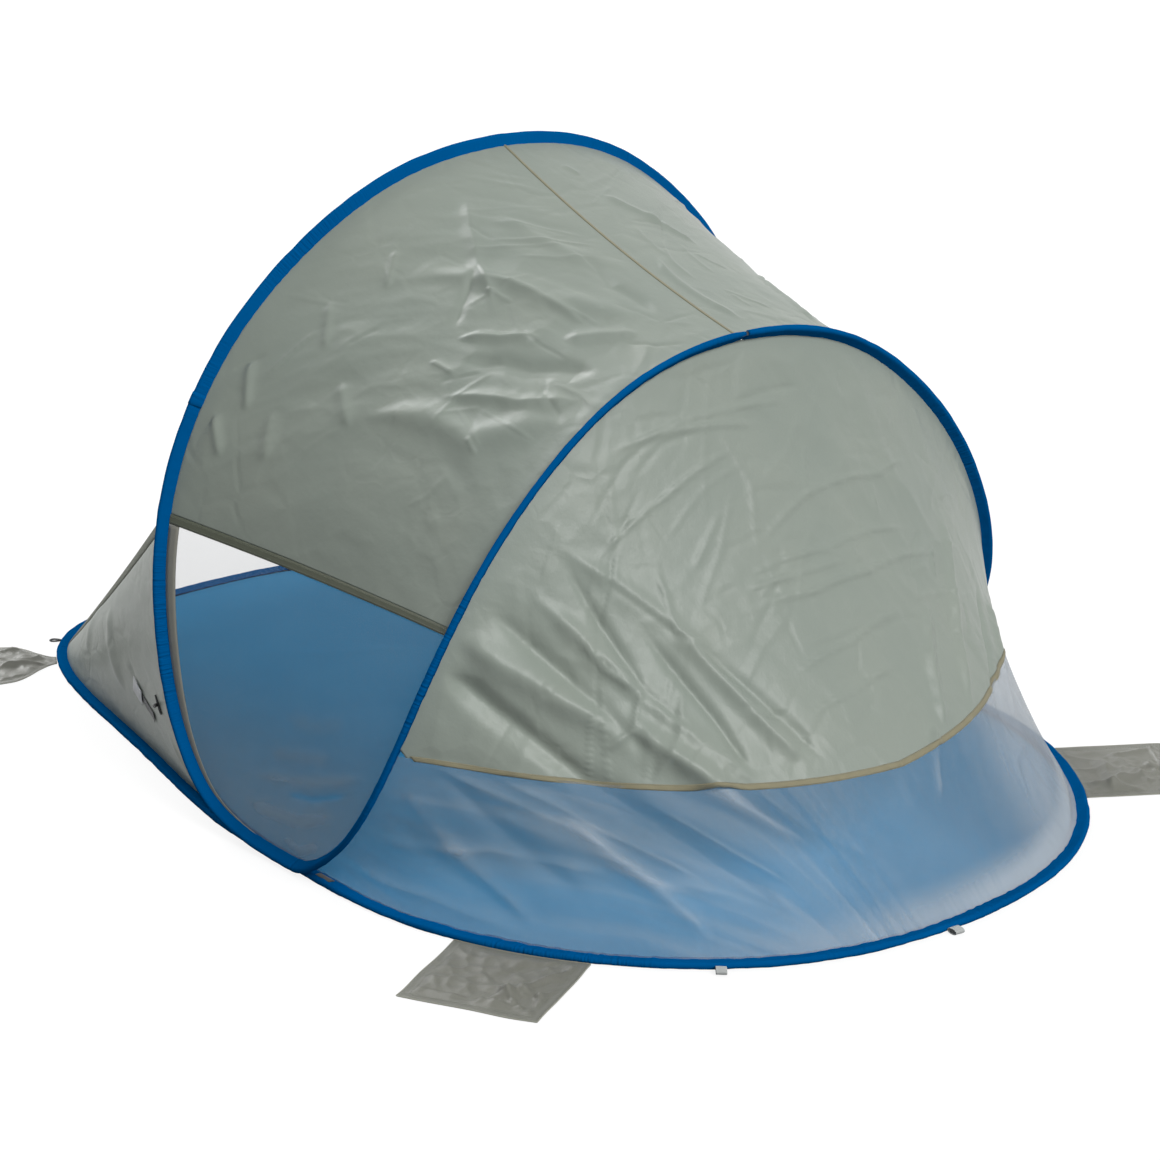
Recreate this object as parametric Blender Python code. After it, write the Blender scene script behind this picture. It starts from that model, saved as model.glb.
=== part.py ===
"""Pop-up beach tent: two closed spring hoops in fabric sleeves, with fabric and mesh panels between them.

One hoop lies on the ground round the floor. The other is bent into a saddle: a tall front arch and a
lower rear arch, joined by a tight bend at the near foot and the far foot. The tent folds across the
line through its two feet. Metres, +Z up. The origin is on the ground in the middle of the ground hoop,
+X points to the rear, and the near side is -Y.
"""
import math

import bmesh
import bpy
import numpy as np
from mathutils import Matrix

MM = 0.001

# Overall sizes, measured on the hoops' centre lines
hoop_length = 2.0
hoop_width = 1.252
foot_x = 0.234
front_arch_height = 0.963
front_arch_lean_length = 0.261
rear_arch_height = 0.738
rear_arch_reach_length = 0.287

# Sleeve bands: a round pocket for the rod at the outer edge, and a flat hem at the inner edge
band_width = 24 * MM
pocket_centre = -7 * MM
outer_half_height = 2.2 * MM
hem_half_height = 2.5 * MM
rod_radius = 2.75 * MM
ferrule_clearance = 0.3 * MM
ferrule_wall = 0.35 * MM
bore_clearance = 0.35 * MM
sleeve_wall = 0.75 * MM
ferrule_inner_radius = rod_radius + ferrule_clearance
ferrule_outer_radius = ferrule_inner_radius + ferrule_wall
bore_radius = ferrule_outer_radius + bore_clearance
pocket_half_height = bore_radius + sleeve_wall
ferrule_length = 60 * MM
ferrule_opening = 14 * MM
foot_offset = 11.8 * MM
foot_rise = 12.5 * MM
fold_rise = 22.5 * MM

# Fabric
fabric = 1.2 * MM
clearance = 0.3 * MM
merge_distance = 0.02 * MM
flat_enough = 0.01 * MM
seat_from_edge = 3 * MM
floor_thickness = 1.6 * MM
hem_width = 12 * MM
tape_width = 13 * MM
tape_thickness = 0.9 * MM
tape_end_share = 0.03
canopy_sag = 15 * MM
leg_outward_shares = (0, -1.0, 0.6)
wing_sag = 6 * MM
rear_sag = 38 * MM
hem_height_front = 0.455
hem_height_rear = 0.400
wing_top_height = 0.485
wing_corner_share = 0.750
seam_leg_height = 0.243
seam_back_height = 0.198
seam_tip = 5 * MM

# Where the bands point: a point in the middle of the tent, over the feet
middle_height = 0.45

# Grids of the panels
side_columns = 8
wing_columns = 5
wing_start = 0.4
panel_rows = 8
mesh_rows = 5
pocket_steps = 6
tape_stand_off = 0.2 * MM
same_place = 0.01
least_step = 0.2
next_step = 0.2
cord_steps = 14
cord_sides = 6

# Main folds of the rear panel: from, to (shares round and down it), and shares for half width and height
rear_fold_height = 1 * MM
fold_aspect = 2.6
fold_fade_share = 0.2
rear_fold_shares = [
    ((0.20, 0.30), (0.36, 0.86), 0.07, 9),
    ((0.25, 0.22), (0.42, 0.80), 0.05, -7),
    ((0.31, 0.30), (0.50, 0.92), 0.06, 8),
    ((0.60, 0.20), (0.56, 0.85), 0.06, 6),
    ((0.70, 0.25), (0.68, 0.85), 0.05, -6),
]

# Sand pockets: middle of the sewn edge, from the foot as a share of its half of the hoop
pocket_width = 0.205
pocket_depth = 0.172
pocket_thickness = 7 * MM
pocket_edge_thickness = 2.4 * MM
pocket_stand_off = 0.5 * MM
pocket_flat_margin_share = 0.17
front_pocket_width = 0.155
front_pocket_flare = 0.225
front_pocket_share = 0.690
rear_near_pocket_share = 0.390
rear_far_pocket_share = 0.484

# Peg loops: places along their half of the hoop, from the foot
elastic_share = 0.757
loop_near_share = 0.635
loop_mid_share = 0.940
elastic_cord = 3.2 * MM
elastic_length = 24 * MM
elastic_width = 17 * MM
ribbon_width = 15 * MM
ribbon_length = 18 * MM
ribbon_thickness = 1.5 * MM
ribbon_height = 9 * MM

# Label and tie on the near wing
label_length = 70 * MM
label_width = 17 * MM
label_thickness = 0.9 * MM
label_stand_off = 0.6 * MM
label_turn = math.radians(46)
label_row_share = 0.56
label_column_share = 0.465
tie_row_share = 0.545
tie_column_share = 0.635
tie_cord = 2.4 * MM
tie_loop_length = 34 * MM
tie_loop_width = 13 * MM
toggle_length = 16 * MM
toggle_radius = 3.2 * MM

# Ties between the hoops at the feet
foot_tab_start = 42 * MM
foot_tab_length = 36 * MM
foot_tab_width = 10 * MM
foot_tab_thickness = 1.2 * MM

# Outlines as control points: share of the run from the foot, share of the half width, share of height
ground_front_shares = [
    (0, 0.988), (0.08, 0.988), (0.20, 0.986), (0.52, 0.825), (0.917, 0.705), (1, 0.384), (1, 0),
]
ground_rear_shares = [(0, 0.988), (0.207, 1.003), (0.43, 0.964), (0.787, 0.735), (1, 0.35), (1, 0)]
front_arch_shares = [
    (0, 1, 0), (0.697, 1, 0), (1.029, 1.016, 0.075), (1.165, 1.034, 0.253), (1.215, 1.012, 0.487),
    (1.163, 0.857, 0.716), (1.076, 0.58, 0.897), (1, 0.26, 1), (1, 0, 1),
]
rear_arch_shares = [
    (0, 1, 0), (0.10, 1, 0), (0.480, 1.004, 0.093), (0.827, 0.995, 0.290), (0.962, 0.858, 0.571),
    (1, 0.602, 0.841), (1, 0.268, 1), (1, 0, 1),
]

# Stations on half of each hoop part: foot to hem and hem to top on the arches
leg_steps = 10
crown_steps = 8
arch_steps = leg_steps + crown_steps
front_ring_steps = 22
rear_ring_steps = arch_steps

half_length = hoop_length / 2
half_width = hoop_width / 2
ground_rise = pocket_half_height
half_band = band_width / 2
half_gap = clearance / 2
colours = {
    "sleeve": (0.0, 0.14, 0.46, 1), "floor": (0.03, 0.17, 0.42, 1), "canopy": (0.27, 0.31, 0.29, 1),
    "mesh": (0.55, 0.62, 0.66, 1), "binding": (0.07, 0.08, 0.05, 1), "tape": (0.30, 0.26, 0.16, 1),
    "pocket": (0.20, 0.20, 0.17, 1), "rod": (0.62, 0.62, 0.60, 1), "ferrule": (0.75, 0.75, 0.76, 1),
    "elastic": (0.02, 0.02, 0.02, 1), "ribbon": (0.55, 0.56, 0.55, 1), "label": (0.03, 0.032, 0.036, 1),
}


def clear_scene():
    for thing in list(bpy.data.objects):
        bpy.data.objects.remove(thing, do_unlink=True)


def material(name):
    """One plain material for each finish."""
    found = bpy.data.materials.get(name)
    if found:
        return found
    made = bpy.data.materials.new(name)
    made.use_nodes = True
    shader = made.node_tree.nodes["Principled BSDF"]
    shader.inputs["Base Color"].default_value = colours[name]
    shader.inputs["Roughness"].default_value = 0.3 if name == "ferrule" else 0.75
    shader.inputs["Metallic"].default_value = 1.0 if name == "ferrule" else 0.0
    return made


def unit(vector):
    return vector / np.linalg.norm(vector, axis=-1, keepdims=True)


def b_spline(controls, count=400):
    """Points of the clamped cubic B-spline with these control points."""
    controls = np.array(controls, float)
    degree = 3
    inner = len(controls) - degree
    knots = np.concatenate([np.zeros(degree), np.linspace(0, 1, inner + 1), np.ones(degree)])
    points = []
    for place in np.linspace(0, 1, count):
        span = min(int(place * inner), inner - 1) + degree
        work = controls[span - degree:span + 1].copy()
        for level in range(1, degree + 1):
            for row in range(degree, level - 1, -1):
                low = knots[row + span - degree]
                high = knots[row + 1 + span - level]
                share = (place - low) / (high - low)
                work[row] = (1 - share) * work[row - 1] + share * work[row]
        points.append(work[degree])
    return np.array(points)


def lengths_along(path):
    return np.concatenate([[0], np.cumsum(np.linalg.norm(np.diff(path, axis=0), axis=1))])


def at_lengths(path, wanted):
    """Points of a path at the given lengths along it."""
    along = lengths_along(path)
    return np.stack([np.interp(wanted, along, path[:, axis]) for axis in range(3)], axis=1)


def evenly(low, high, steps):
    return np.linspace(low, high, steps + 1)


class Band:
    """Centre line of a sleeve with its directions: along it, across it to the inner edge, and its face."""

    def __init__(self, centre, across, face):
        self.centre = centre
        self.across = across
        self.face = face

    def last(self):
        return len(self.centre) - 1

    def at(self, place):
        """Centre, across and face at a station number, which may lie between two stations."""
        low = int(min(max(math.floor(place), 0), self.last() - 1))
        share = place - low
        return [(1 - share) * table[low] + share * table[low + 1]
                for table in (self.centre, self.across, self.face)]

    def stretch(self, low, high):
        """The part of the band from one station number to another."""
        inside = [place for place in range(self.last() + 1) if low + same_place < place < high - same_place]
        rows = [self.at(place) for place in [low] + inside + [high]]
        return Band(*[np.array(table) for table in zip(*rows)])

    def seat(self, place, side, reach=0.0):
        """Where a panel's edge meets the band's face near its inner edge, and the direction of that face."""
        centre, across, face = self.at(place)
        slope = (pocket_half_height - hem_half_height) / (half_band - pocket_centre)
        over = half_band - seat_from_edge
        rise = hem_half_height + seat_from_edge * slope + clearance + reach
        along_face = unit(np.array([1.0, -slope]))
        point = centre + across * over + face * (side * rise)
        return point, across * along_face[0] + face * (side * along_face[1])

    def inner_edge(self, place, away=0.0):
        centre, across, _ = self.at(place)
        return centre + across * (half_band + away)


def whole(near_half):
    """A near half from the foot to the symmetry plane, with its mirror image to the far foot."""
    mirror = near_half[-2::-1] * np.array([1, -1, 1])
    return np.concatenate([near_half, mirror])


def tangents(points):
    """Directions along a path whose two ends run straight along X."""
    along = np.gradient(points, axis=0)
    along[0] = [points[1][0] - points[0][0], 0, 0]
    along[-1] = [points[-1][0] - points[-2][0], 0, 0]
    return unit(along)


def ground_band(shares, run, steps):
    """Half of the ground hoop from the near foot round to the far foot. run is its signed length."""
    half = b_spline([(foot_x + run * far, -half_width * wide, ground_rise) for far, wide in shares])
    half[:, 0] += math.copysign(half_gap, run)
    points = at_lengths(half, evenly(0, lengths_along(half)[-1], steps))
    points = whole(points)
    along = tangents(points)
    turn = math.copysign(1, run)
    across = turn * np.stack([-along[:, 1], along[:, 0], np.zeros(len(along))], axis=1)
    face = np.tile([0.0, 0.0, 1.0], (len(points), 1))
    return Band(points, across, face)


def arch_band(shares, run, height, hem_height):
    """An arch from the near foot over the top to the far foot, its band pointing at the tent's middle."""
    foot_y = half_width * ground_rear_shares[0][1] + foot_offset
    half = b_spline([(foot_x + run * far, -foot_y * wide, foot_rise + height * high)
                     for far, wide, high in shares])
    half[:, 0] += math.copysign(half_gap, run)
    along = lengths_along(half)
    at_hem = np.interp(foot_rise + hem_height, half[:, 2], along)
    places = np.concatenate([evenly(0, at_hem, leg_steps), evenly(at_hem, along[-1], crown_steps)[1:]])
    points = whole(at_lengths(half, places))
    direction = tangents(points)
    towards = np.array([foot_x, 0, middle_height]) - points
    across = unit(towards - direction * np.sum(towards * direction, axis=1, keepdims=True))
    return Band(points, across, np.cross(across, direction))


def station_at_height(band, height):
    """Station number on the near leg at a height above the foot."""
    near = band.centre[:arch_steps + 1, 2]
    return float(np.interp(foot_rise + height, near, range(arch_steps + 1)))


def turn_faces_out(mesh_object):
    """Turns the faces outwards on a closed mesh."""
    work = bmesh.new()
    work.from_mesh(mesh_object.data)
    bmesh.ops.remove_doubles(work, verts=work.verts, dist=merge_distance)
    bmesh.ops.recalc_face_normals(work, faces=work.faces)
    work.to_mesh(mesh_object.data)
    work.free()


def new_object(name, points, faces, finish):
    mesh = bpy.data.meshes.new(name)
    mesh.from_pydata([tuple(point) for point in points], [], faces)
    made = bpy.data.objects.new(name, mesh)
    bpy.context.scene.collection.objects.link(made)
    mesh.materials.append(material(finish))
    turn_faces_out(made)
    return made


def ring_faces(rows, sides, start=0, closed=False):
    """Quads between rows of points that each go round a section."""
    faces = []
    for row in range(rows if closed else rows - 1):
        low = start + row * sides
        high = start + ((row + 1) % rows) * sides
        faces += [(low + k, low + (k + 1) % sides, high + (k + 1) % sides, high + k) for k in range(sides)]
    return faces


def section(band, outline):
    """The outline's points at every station of a band."""
    return np.concatenate([[band.centre[k] + band.across[k] * u + band.face[k] * v for u, v in outline]
                           for k in range(band.last() + 1)])


def sweep(name, band, outer, finish, inner=None):
    """A bar along a band, or a tube where an inner outline with as many points is given."""
    rows = band.last() + 1
    sides = len(outer)
    points = section(band, outer)
    faces = ring_faces(rows, sides)
    ends = (0, (rows - 1) * sides)
    if inner is None:
        faces += [tuple(end + k for k in range(sides)) for end in ends]
    else:
        second = len(points)
        points = np.concatenate([points, section(band, inner)])
        faces += ring_faces(rows, sides, second)
        for end in ends:
            faces += [(end + k, end + (k + 1) % sides, second + end + (k + 1) % sides, second + end + k)
                      for k in range(sides)]
    return new_object(name, points, faces, finish)


def hexagon(radius, centre):
    turns = [math.radians(150 - 60 * k) for k in range(6)]
    return [(centre + radius * math.cos(turn), radius * math.sin(turn)) for turn in turns]


sleeve_outline = [
    (-half_band, outer_half_height), (pocket_centre, pocket_half_height), (half_band, hem_half_height),
    (half_band, -hem_half_height), (pocket_centre, -pocket_half_height), (-half_band, -outer_half_height),
]


def normals(grid):
    """Normals of a grid of points, from its neighbours along both ways."""
    across = np.cross(np.gradient(grid, axis=0), np.gradient(grid, axis=1))
    for column in (0, -1):
        if np.allclose(grid[0, column], grid[1, column]):
            across[0, column] = across[1, column]
    return unit(across)


def flat_parts(points, quad):
    """A quad, or where it is twisted its two triangles, so that both faces of a sheet bend along one line."""
    a, b, c, d = quad
    normal = unit(np.cross(points[b] - points[a], points[d] - points[a]))
    if abs(np.dot(points[c] - points[a], normal)) < flat_enough:
        return [quad]
    if np.linalg.norm(points[a] - points[c]) <= np.linalg.norm(points[b] - points[d]):
        return [(a, b, c), (a, c, d)]
    return [(a, b, d), (b, c, d)]


def shell(name, grid, half, finish):
    """A thin closed sheet: the grid's points moved both ways by half its thickness."""
    rows, columns, _ = grid.shape
    points = np.concatenate([(grid + half).reshape(-1, 3), (grid - half).reshape(-1, 3)])
    middle = grid.reshape(-1, 3)
    second = rows * columns
    faces = []
    for row in range(rows - 1):
        for column in range(columns - 1):
            a = row * columns + column
            for part in flat_parts(middle, (a, a + 1, a + columns + 1, a + columns)):
                faces += [part, tuple(second + k for k in reversed(part))]
    rim = list(range(columns))
    rim += [row * columns + columns - 1 for row in range(1, rows)]
    rim += [(rows - 1) * columns + column for column in range(columns - 2, -1, -1)]
    rim += [row * columns for row in range(rows - 2, 0, -1)]
    for k, a in enumerate(rim):
        b = rim[(k + 1) % len(rim)]
        faces.append((b, a, second + a, second + b))
    return new_object(name, points, faces, finish)


def seated(grid, first=None, last=None):
    """Half thicknesses over a grid: along its normals, but along the seats at its first and last columns."""
    half = normals(grid)
    for column, directions in ((0, first), (-1, last)):
        if directions is not None:
            sign = np.sign(np.sum(directions * half[:, column], axis=1, keepdims=True))
            half[:, column] = directions * sign
    return half * (fabric / 2)


def rows_of(grid, half, low, high):
    """Some rows of a grid, pulled back by half the clearance where another panel goes on."""
    grid_part = grid[low:high + 1].copy()
    if low > 0:
        grid_part[0] += unit(grid[low + 1] - grid[low]) * half_gap
    if high < len(grid) - 1:
        grid_part[-1] += unit(grid[high - 1] - grid[high]) * half_gap
    return grid_part, half[low:high + 1]


def mirrored(name, original, finish):
    """The far copy of a near piece, as a mesh of its own."""
    points = [(p.co.x, -p.co.y, p.co.z) for p in original.data.vertices]
    faces = [tuple(face.vertices) for face in original.data.polygons]
    return new_object(name, points, faces, finish)


# What swings up with the rear half when the tent folds across the line through its feet
rear_half_pieces = [
    "ground_rod_rear", "ground_rod_ferrule", "ground_sleeve_rear", "arch_rod_rear", "arch_rod_ferrule",
    "arch_sleeve_rear_near", "arch_sleeve_rear_far", "floor_rear", "rear_panel", "rear_mesh",
    "rear_seam_tape", "foot_tab_near", "foot_tab_far", "sand_pocket_rear_near_hinge",
    "sand_pocket_rear_far_hinge", "peg_loop_rear_near_hinge", "peg_loop_rear_mid_hinge",
]

# The four parts of the two hoops
ground_front = ground_band(ground_front_shares, -(half_length + foot_x), front_ring_steps)
ground_rear = ground_band(ground_rear_shares, half_length - foot_x, rear_ring_steps)
arch_front = arch_band(front_arch_shares, -front_arch_lean_length, front_arch_height, hem_height_front)
arch_rear = arch_band(rear_arch_shares, rear_arch_reach_length, rear_arch_height, hem_height_rear)


def build_hoops():
    """Rods, ferrules and sleeves."""
    bore = hexagon(bore_radius, pocket_centre)
    rod = hexagon(rod_radius, pocket_centre)
    ferrule = (hexagon(ferrule_outer_radius, pocket_centre), hexagon(ferrule_inner_radius, pocket_centre))
    for place, band in (("ground_rod_front", ground_front), ("ground_rod_rear", ground_rear),
                        ("arch_rod_front", arch_front), ("arch_rod_rear", arch_rear)):
        sweep(place, band, rod, "rod")
    for place, band in (("ground_sleeve_front", ground_front), ("ground_sleeve_rear", ground_rear),
                        ("arch_sleeve_front", arch_front)):
        sweep(place, band, sleeve_outline, "sleeve", bore)
    top_step = np.linalg.norm(arch_rear.centre[arch_steps] - arch_rear.centre[arch_steps - 1])
    opening = ferrule_opening / 2 / top_step
    sweep("arch_sleeve_rear_near", arch_rear.stretch(0, arch_steps - opening), sleeve_outline, "sleeve", bore)
    sweep("arch_sleeve_rear_far", arch_rear.stretch(arch_steps + opening, 2 * arch_steps), sleeve_outline,
          "sleeve", bore)
    for name, band in (("arch_rod_ferrule", arch_rear), ("ground_rod_ferrule", ground_rear)):
        step = np.linalg.norm(band.centre[arch_steps] - band.centre[arch_steps - 1])
        reach = ferrule_length / 2 / step
        sweep(name, band.stretch(arch_steps - reach, arch_steps + reach), ferrule[0], "ferrule", ferrule[1])


def build_floor(name, band):
    """A flat sheet inside one half of the ground hoop, from foot to foot."""
    edge = [band.inner_edge(place, clearance) for place in range(band.last() + 1)]
    count = len(edge)
    low = [(x, y, 0.0) for x, y, _ in edge]
    high = [(x, y, floor_thickness) for x, y, _ in edge]
    faces = [tuple(range(count)), tuple(range(2 * count - 1, count - 1, -1))]
    faces += [(k, (k + 1) % count, count + (k + 1) % count, count + k) for k in range(count)]
    return new_object(name, low + high, faces, "floor")


def side_grid():
    """Near side between the arches: rows from the foot's bend up both legs to the ridge."""
    hem_step = hem_width / np.linalg.norm(arch_front.centre[leg_steps + 1] - arch_front.centre[leg_steps])
    places = list(range(1, leg_steps + 1)) + [leg_steps + hem_step]
    places += list(range(leg_steps + 1, arch_steps + 1))
    rows = []
    front_seats = []
    rear_seats = []
    shares = np.linspace(0, 1, side_columns + 1)[:, None]
    for place in places:
        front, front_seat = arch_front.seat(place, 1)
        rear, rear_seat = arch_rear.seat(place, -1)
        outward = unit(np.array(leg_outward_shares) if place <= leg_steps else (front + rear) / 2
                       - np.array([foot_x, 0, middle_height]))
        sag = canopy_sag * min(place / leg_steps, 1)
        rows.append((1 - shares) * front + shares * rear - outward * 4 * sag * shares * (1 - shares))
        front_seats.append(front_seat)
        rear_seats.append(rear_seat)
    bend = np.linspace(-1, 1, side_columns + 1)
    bottom = [arch_front.seat(-turn, 1) if turn < 0 else arch_rear.seat(turn, -1) for turn in bend]
    grid = np.array([[point for point, _ in bottom]] + rows)
    front_seats = np.array([front_seats[0]] + front_seats)
    rear_seats = np.array([rear_seats[0]] + rear_seats)
    grid[-1, :, 1] = -half_gap
    half = seated(grid, front_seats, rear_seats)
    half[0, 1:-1] = fabric / 2 * np.array([seat for _, seat in bottom[1:-1]]) * np.sign(
        np.sum(np.array([seat for _, seat in bottom[1:-1]]) * half[0, 1:-1], axis=1, keepdims=True))
    ridge = half[-1] * np.array([1, 0, 1])
    half[-1] = unit(ridge) * fabric / 2
    return grid, half


def build_sides():
    """Side meshes, hems and canopy halves, and the tape over the ridge seam."""
    grid, half = side_grid()
    low_hem = leg_steps
    high_hem = leg_steps + 1
    near = {
        "side_mesh": shell("side_mesh_near", *rows_of(grid, half, 0, low_hem), "mesh"),
        "canopy": shell("canopy_near", *rows_of(grid, half, high_hem, len(grid) - 1), "canopy"),
    }
    hem_grid, hem_half = rows_of(grid, half, low_hem, high_hem)
    near["side_hem"] = shell("side_hem_near", hem_grid, hem_half, "binding")
    for name, piece in near.items():
        mirrored(name + "_far", piece, piece.data.materials[0].name)
    ridge = grid[-1, :, :] * np.array([1, 0, 1])
    lift = unit(half[-1])
    lift *= np.sign(lift[:, 2:])
    height = fabric / 2 + clearance + tape_thickness / 2
    shares = np.linspace(tape_end_share, 1 - tape_end_share, side_columns + 1) * side_columns
    line = np.stack([np.interp(shares, range(side_columns + 1), (ridge + lift * height)[:, axis])
                     for axis in range(3)], axis=1)
    tape = np.stack([line + np.array([0, side * tape_width / 2, 0]) for side in (-1, 0, 1)])
    tape_lift = np.stack([lift * tape_thickness / 2] * 3)
    shell("ridge_seam_tape", tape, tape_lift, "tape")


def wing_grid():
    """Near front wing: rows from the foot up to the free edge, columns from the ground hoop to the arch."""
    top = station_at_height(arch_front, wing_top_height)
    corner = wing_corner_share * front_ring_steps
    last = int(top)
    step = np.linalg.norm(arch_front.centre[last + 1] - arch_front.centre[last])
    places = [wing_start] + list(range(1, last)) + [top - hem_width / step, top]
    shares = np.linspace(0, 1, wing_columns + 1)[:, None]
    rows = []
    low_seats = []
    high_seats = []
    for place in places:
        low, low_seat = ground_front.seat(place / top * corner, 1)
        high, high_seat = arch_front.seat(place, -1)
        inward = np.array([0, 1.0, 0]) * wing_sag * place / top
        rows.append((1 - shares) * low + shares * high + inward * 4 * shares * (1 - shares))
        low_seats.append(low_seat)
        high_seats.append(high_seat)
    grid = np.array(rows)
    return grid, seated(grid, np.array(low_seats), np.array(high_seats))


def on_grid(grid, row, column):
    """A point of a grid between its rows and columns."""
    low_row = int(row)
    low_column = int(column)
    down = row - low_row
    over = column - low_column
    first = (1 - over) * grid[low_row, low_column] + over * grid[low_row, low_column + 1]
    second = (1 - over) * grid[low_row + 1, low_column] + over * grid[low_row + 1, low_column + 1]
    return (1 - down) * first + down * second


def build_wings():
    """Front wings with the binding on their free edges, and the label and tie on the near one."""
    grid, half = wing_grid()
    last = len(grid) - 1
    near_wing = shell("front_wing_near", *rows_of(grid, half, 0, last - 1), "canopy")
    near_hem = shell("wing_hem_near", *rows_of(grid, half, last - 1, last), "binding")
    mirrored("front_wing_far", near_wing, "canopy")
    mirrored("wing_hem_far", near_hem, "binding")
    build_label(grid)
    build_tie(grid)


def wing_patch(grid, row_share, column_share, lift):
    """A place on the near wing, lifted off its outer side, with the wing's two directions and normal."""
    row = row_share * (len(grid) - 1)
    column = column_share * wing_columns
    point = on_grid(grid, row, column)
    up = unit(on_grid(grid, row, column + next_step) - point)
    out = unit(np.cross(up, on_grid(grid, row + next_step, column) - point))
    out *= math.copysign(1, -out[1])
    return point + out * lift, up, unit(np.cross(out, up)), out


def build_label(grid):
    """A small woven label, with nothing on it."""
    lift = fabric / 2 + label_stand_off + label_thickness / 2
    centre, up, over, out = wing_patch(grid, label_row_share, label_column_share, lift)
    long = unit(-up * math.cos(label_turn) + over * math.sin(label_turn))
    wide = np.cross(out, long)
    grid = np.array([[centre + long * along * label_length / 2 + wide * side * label_width / 2
                      for side in (-1, 1)] for along in (-1, 1)])
    shell("wing_label", grid, np.tile(out * label_thickness / 2, (2, 2, 1)), "label")


def loop_of_cord(name, centre, long, wide, length, width, cord, finish):
    """A closed oval of cord in the plane of two directions."""
    normal = unit(np.cross(long, wide))
    points = []
    for k in range(cord_steps):
        turn = math.tau * k / cord_steps
        middle = long * math.cos(turn) * (length - cord) / 2 + wide * math.sin(turn) * (width - cord) / 2
        outward = unit(long * math.cos(turn) / length + wide * math.sin(turn) / width)
        for side in range(cord_sides):
            roll = math.tau * side / cord_sides
            points.append(centre + middle + (outward * math.cos(roll) + normal * math.sin(roll)) * cord / 2)
    return new_object(name, points, ring_faces(cord_steps, cord_sides, closed=True), finish)


def build_tie(grid):
    """The loop and toggle that hold a rolled wing, lying on the wing between label and sleeve."""
    lift = fabric / 2 + label_stand_off + tie_cord / 2
    centre, up, over, out = wing_patch(grid, tie_row_share, tie_column_share, lift)
    loop_of_cord("tie_loop", centre, over, up, tie_loop_length, tie_loop_width, tie_cord, "elastic")
    spot = centre + out * (tie_cord / 2 + clearance + toggle_radius)
    ends = np.array([spot - up * toggle_length / 2, spot + up * toggle_length / 2])
    toggle = Band(ends, np.tile(over, (2, 1)), np.tile(out, (2, 1)))
    sweep("tie_toggle", toggle, hexagon(toggle_radius, 0), "elastic")


def seam_ends():
    """Station numbers where the rear panel's lower seam meets the two legs of the rear arch."""
    first = station_at_height(arch_rear, seam_leg_height)
    return first, 2 * arch_steps - first


def seam_share(place):
    """How far down the rear panel's line at a station its lower seam lies."""
    first, last = seam_ends()
    if place < first or place > last:
        return 0.0
    high = arch_rear.seat(place, 1)[0]
    low = ground_rear.seat(place, 1)[0]
    middle = min(place - first, last - place) / (arch_steps - first)
    height = seam_leg_height + (seam_back_height - seam_leg_height) * middle
    tip = seam_tip / np.linalg.norm(high - low)
    return max(tip, float((high[2] - height) / (high[2] - low[2])))


def rear_point(place, share):
    """A point of the rear panel's surface: share 0 on the rear arch, 1 on the ground hoop."""
    high = arch_rear.seat(place, 1)[0]
    low = ground_rear.seat(place, 1)[0]
    fall = np.linalg.norm(low - high)
    inward = unit(np.array([foot_x, 0, 0]) - (high + low) / 2)
    middle = 4 * share * (1 - share)
    point = (1 - share) * high + share * low + inward * rear_sag * math.sqrt(fall / rear_arch_height) * middle
    return point - inward * fold_height(place / (2 * arch_steps), share) * min(1, 3 * middle)


def fold_height(around, down):
    """Height of the main folds at a place on the rear panel, both given as shares."""
    total = 0.0
    for (start_around, start_down), (end_around, end_down), width_share, height_share in rear_fold_shares:
        start = np.array([start_around * fold_aspect, start_down])
        run = np.array([end_around * fold_aspect, end_down]) - start
        offset = np.array([around * fold_aspect, down]) - start
        along = float(np.dot(offset, run) / np.dot(run, run))
        sideways = (offset[0] * run[1] - offset[1] * run[0]) / np.linalg.norm(run)
        inside = min(along, 1 - along) + fold_fade_share
        if inside > 0:
            fade = min(inside / (2 * fold_fade_share), 1)
            total += rear_fold_height * height_share * fade * math.exp(-(sideways / width_share) ** 2)
    return total


def rear_grid(places, lows, highs, rows):
    """Points between two shares on each line, with half thicknesses seated on the hoops at shares 0 and 1."""
    grid = np.array([[rear_point(place, low + (high - low) * k / rows) for k in range(rows + 1)]
                     for place, low, high in zip(places, lows, highs)])
    half = normals(grid)
    for line, (place, low, high) in enumerate(zip(places, lows, highs)):
        for column, wanted, band in ((0, low == 0, arch_rear), (rows, high == 1, ground_rear)):
            if wanted:
                seat = band.seat(place, 1)[1]
                half[line, column] = seat * math.copysign(1, np.dot(seat, half[line, column]))
    half *= fabric / 2
    for line, place in ((0, places[0]), (-1, places[-1])):
        if place in (0, 2 * arch_steps):
            half[line] = unit(half[line] * np.array([0, 1, 1])) * fabric / 2
    return grid, half


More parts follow.
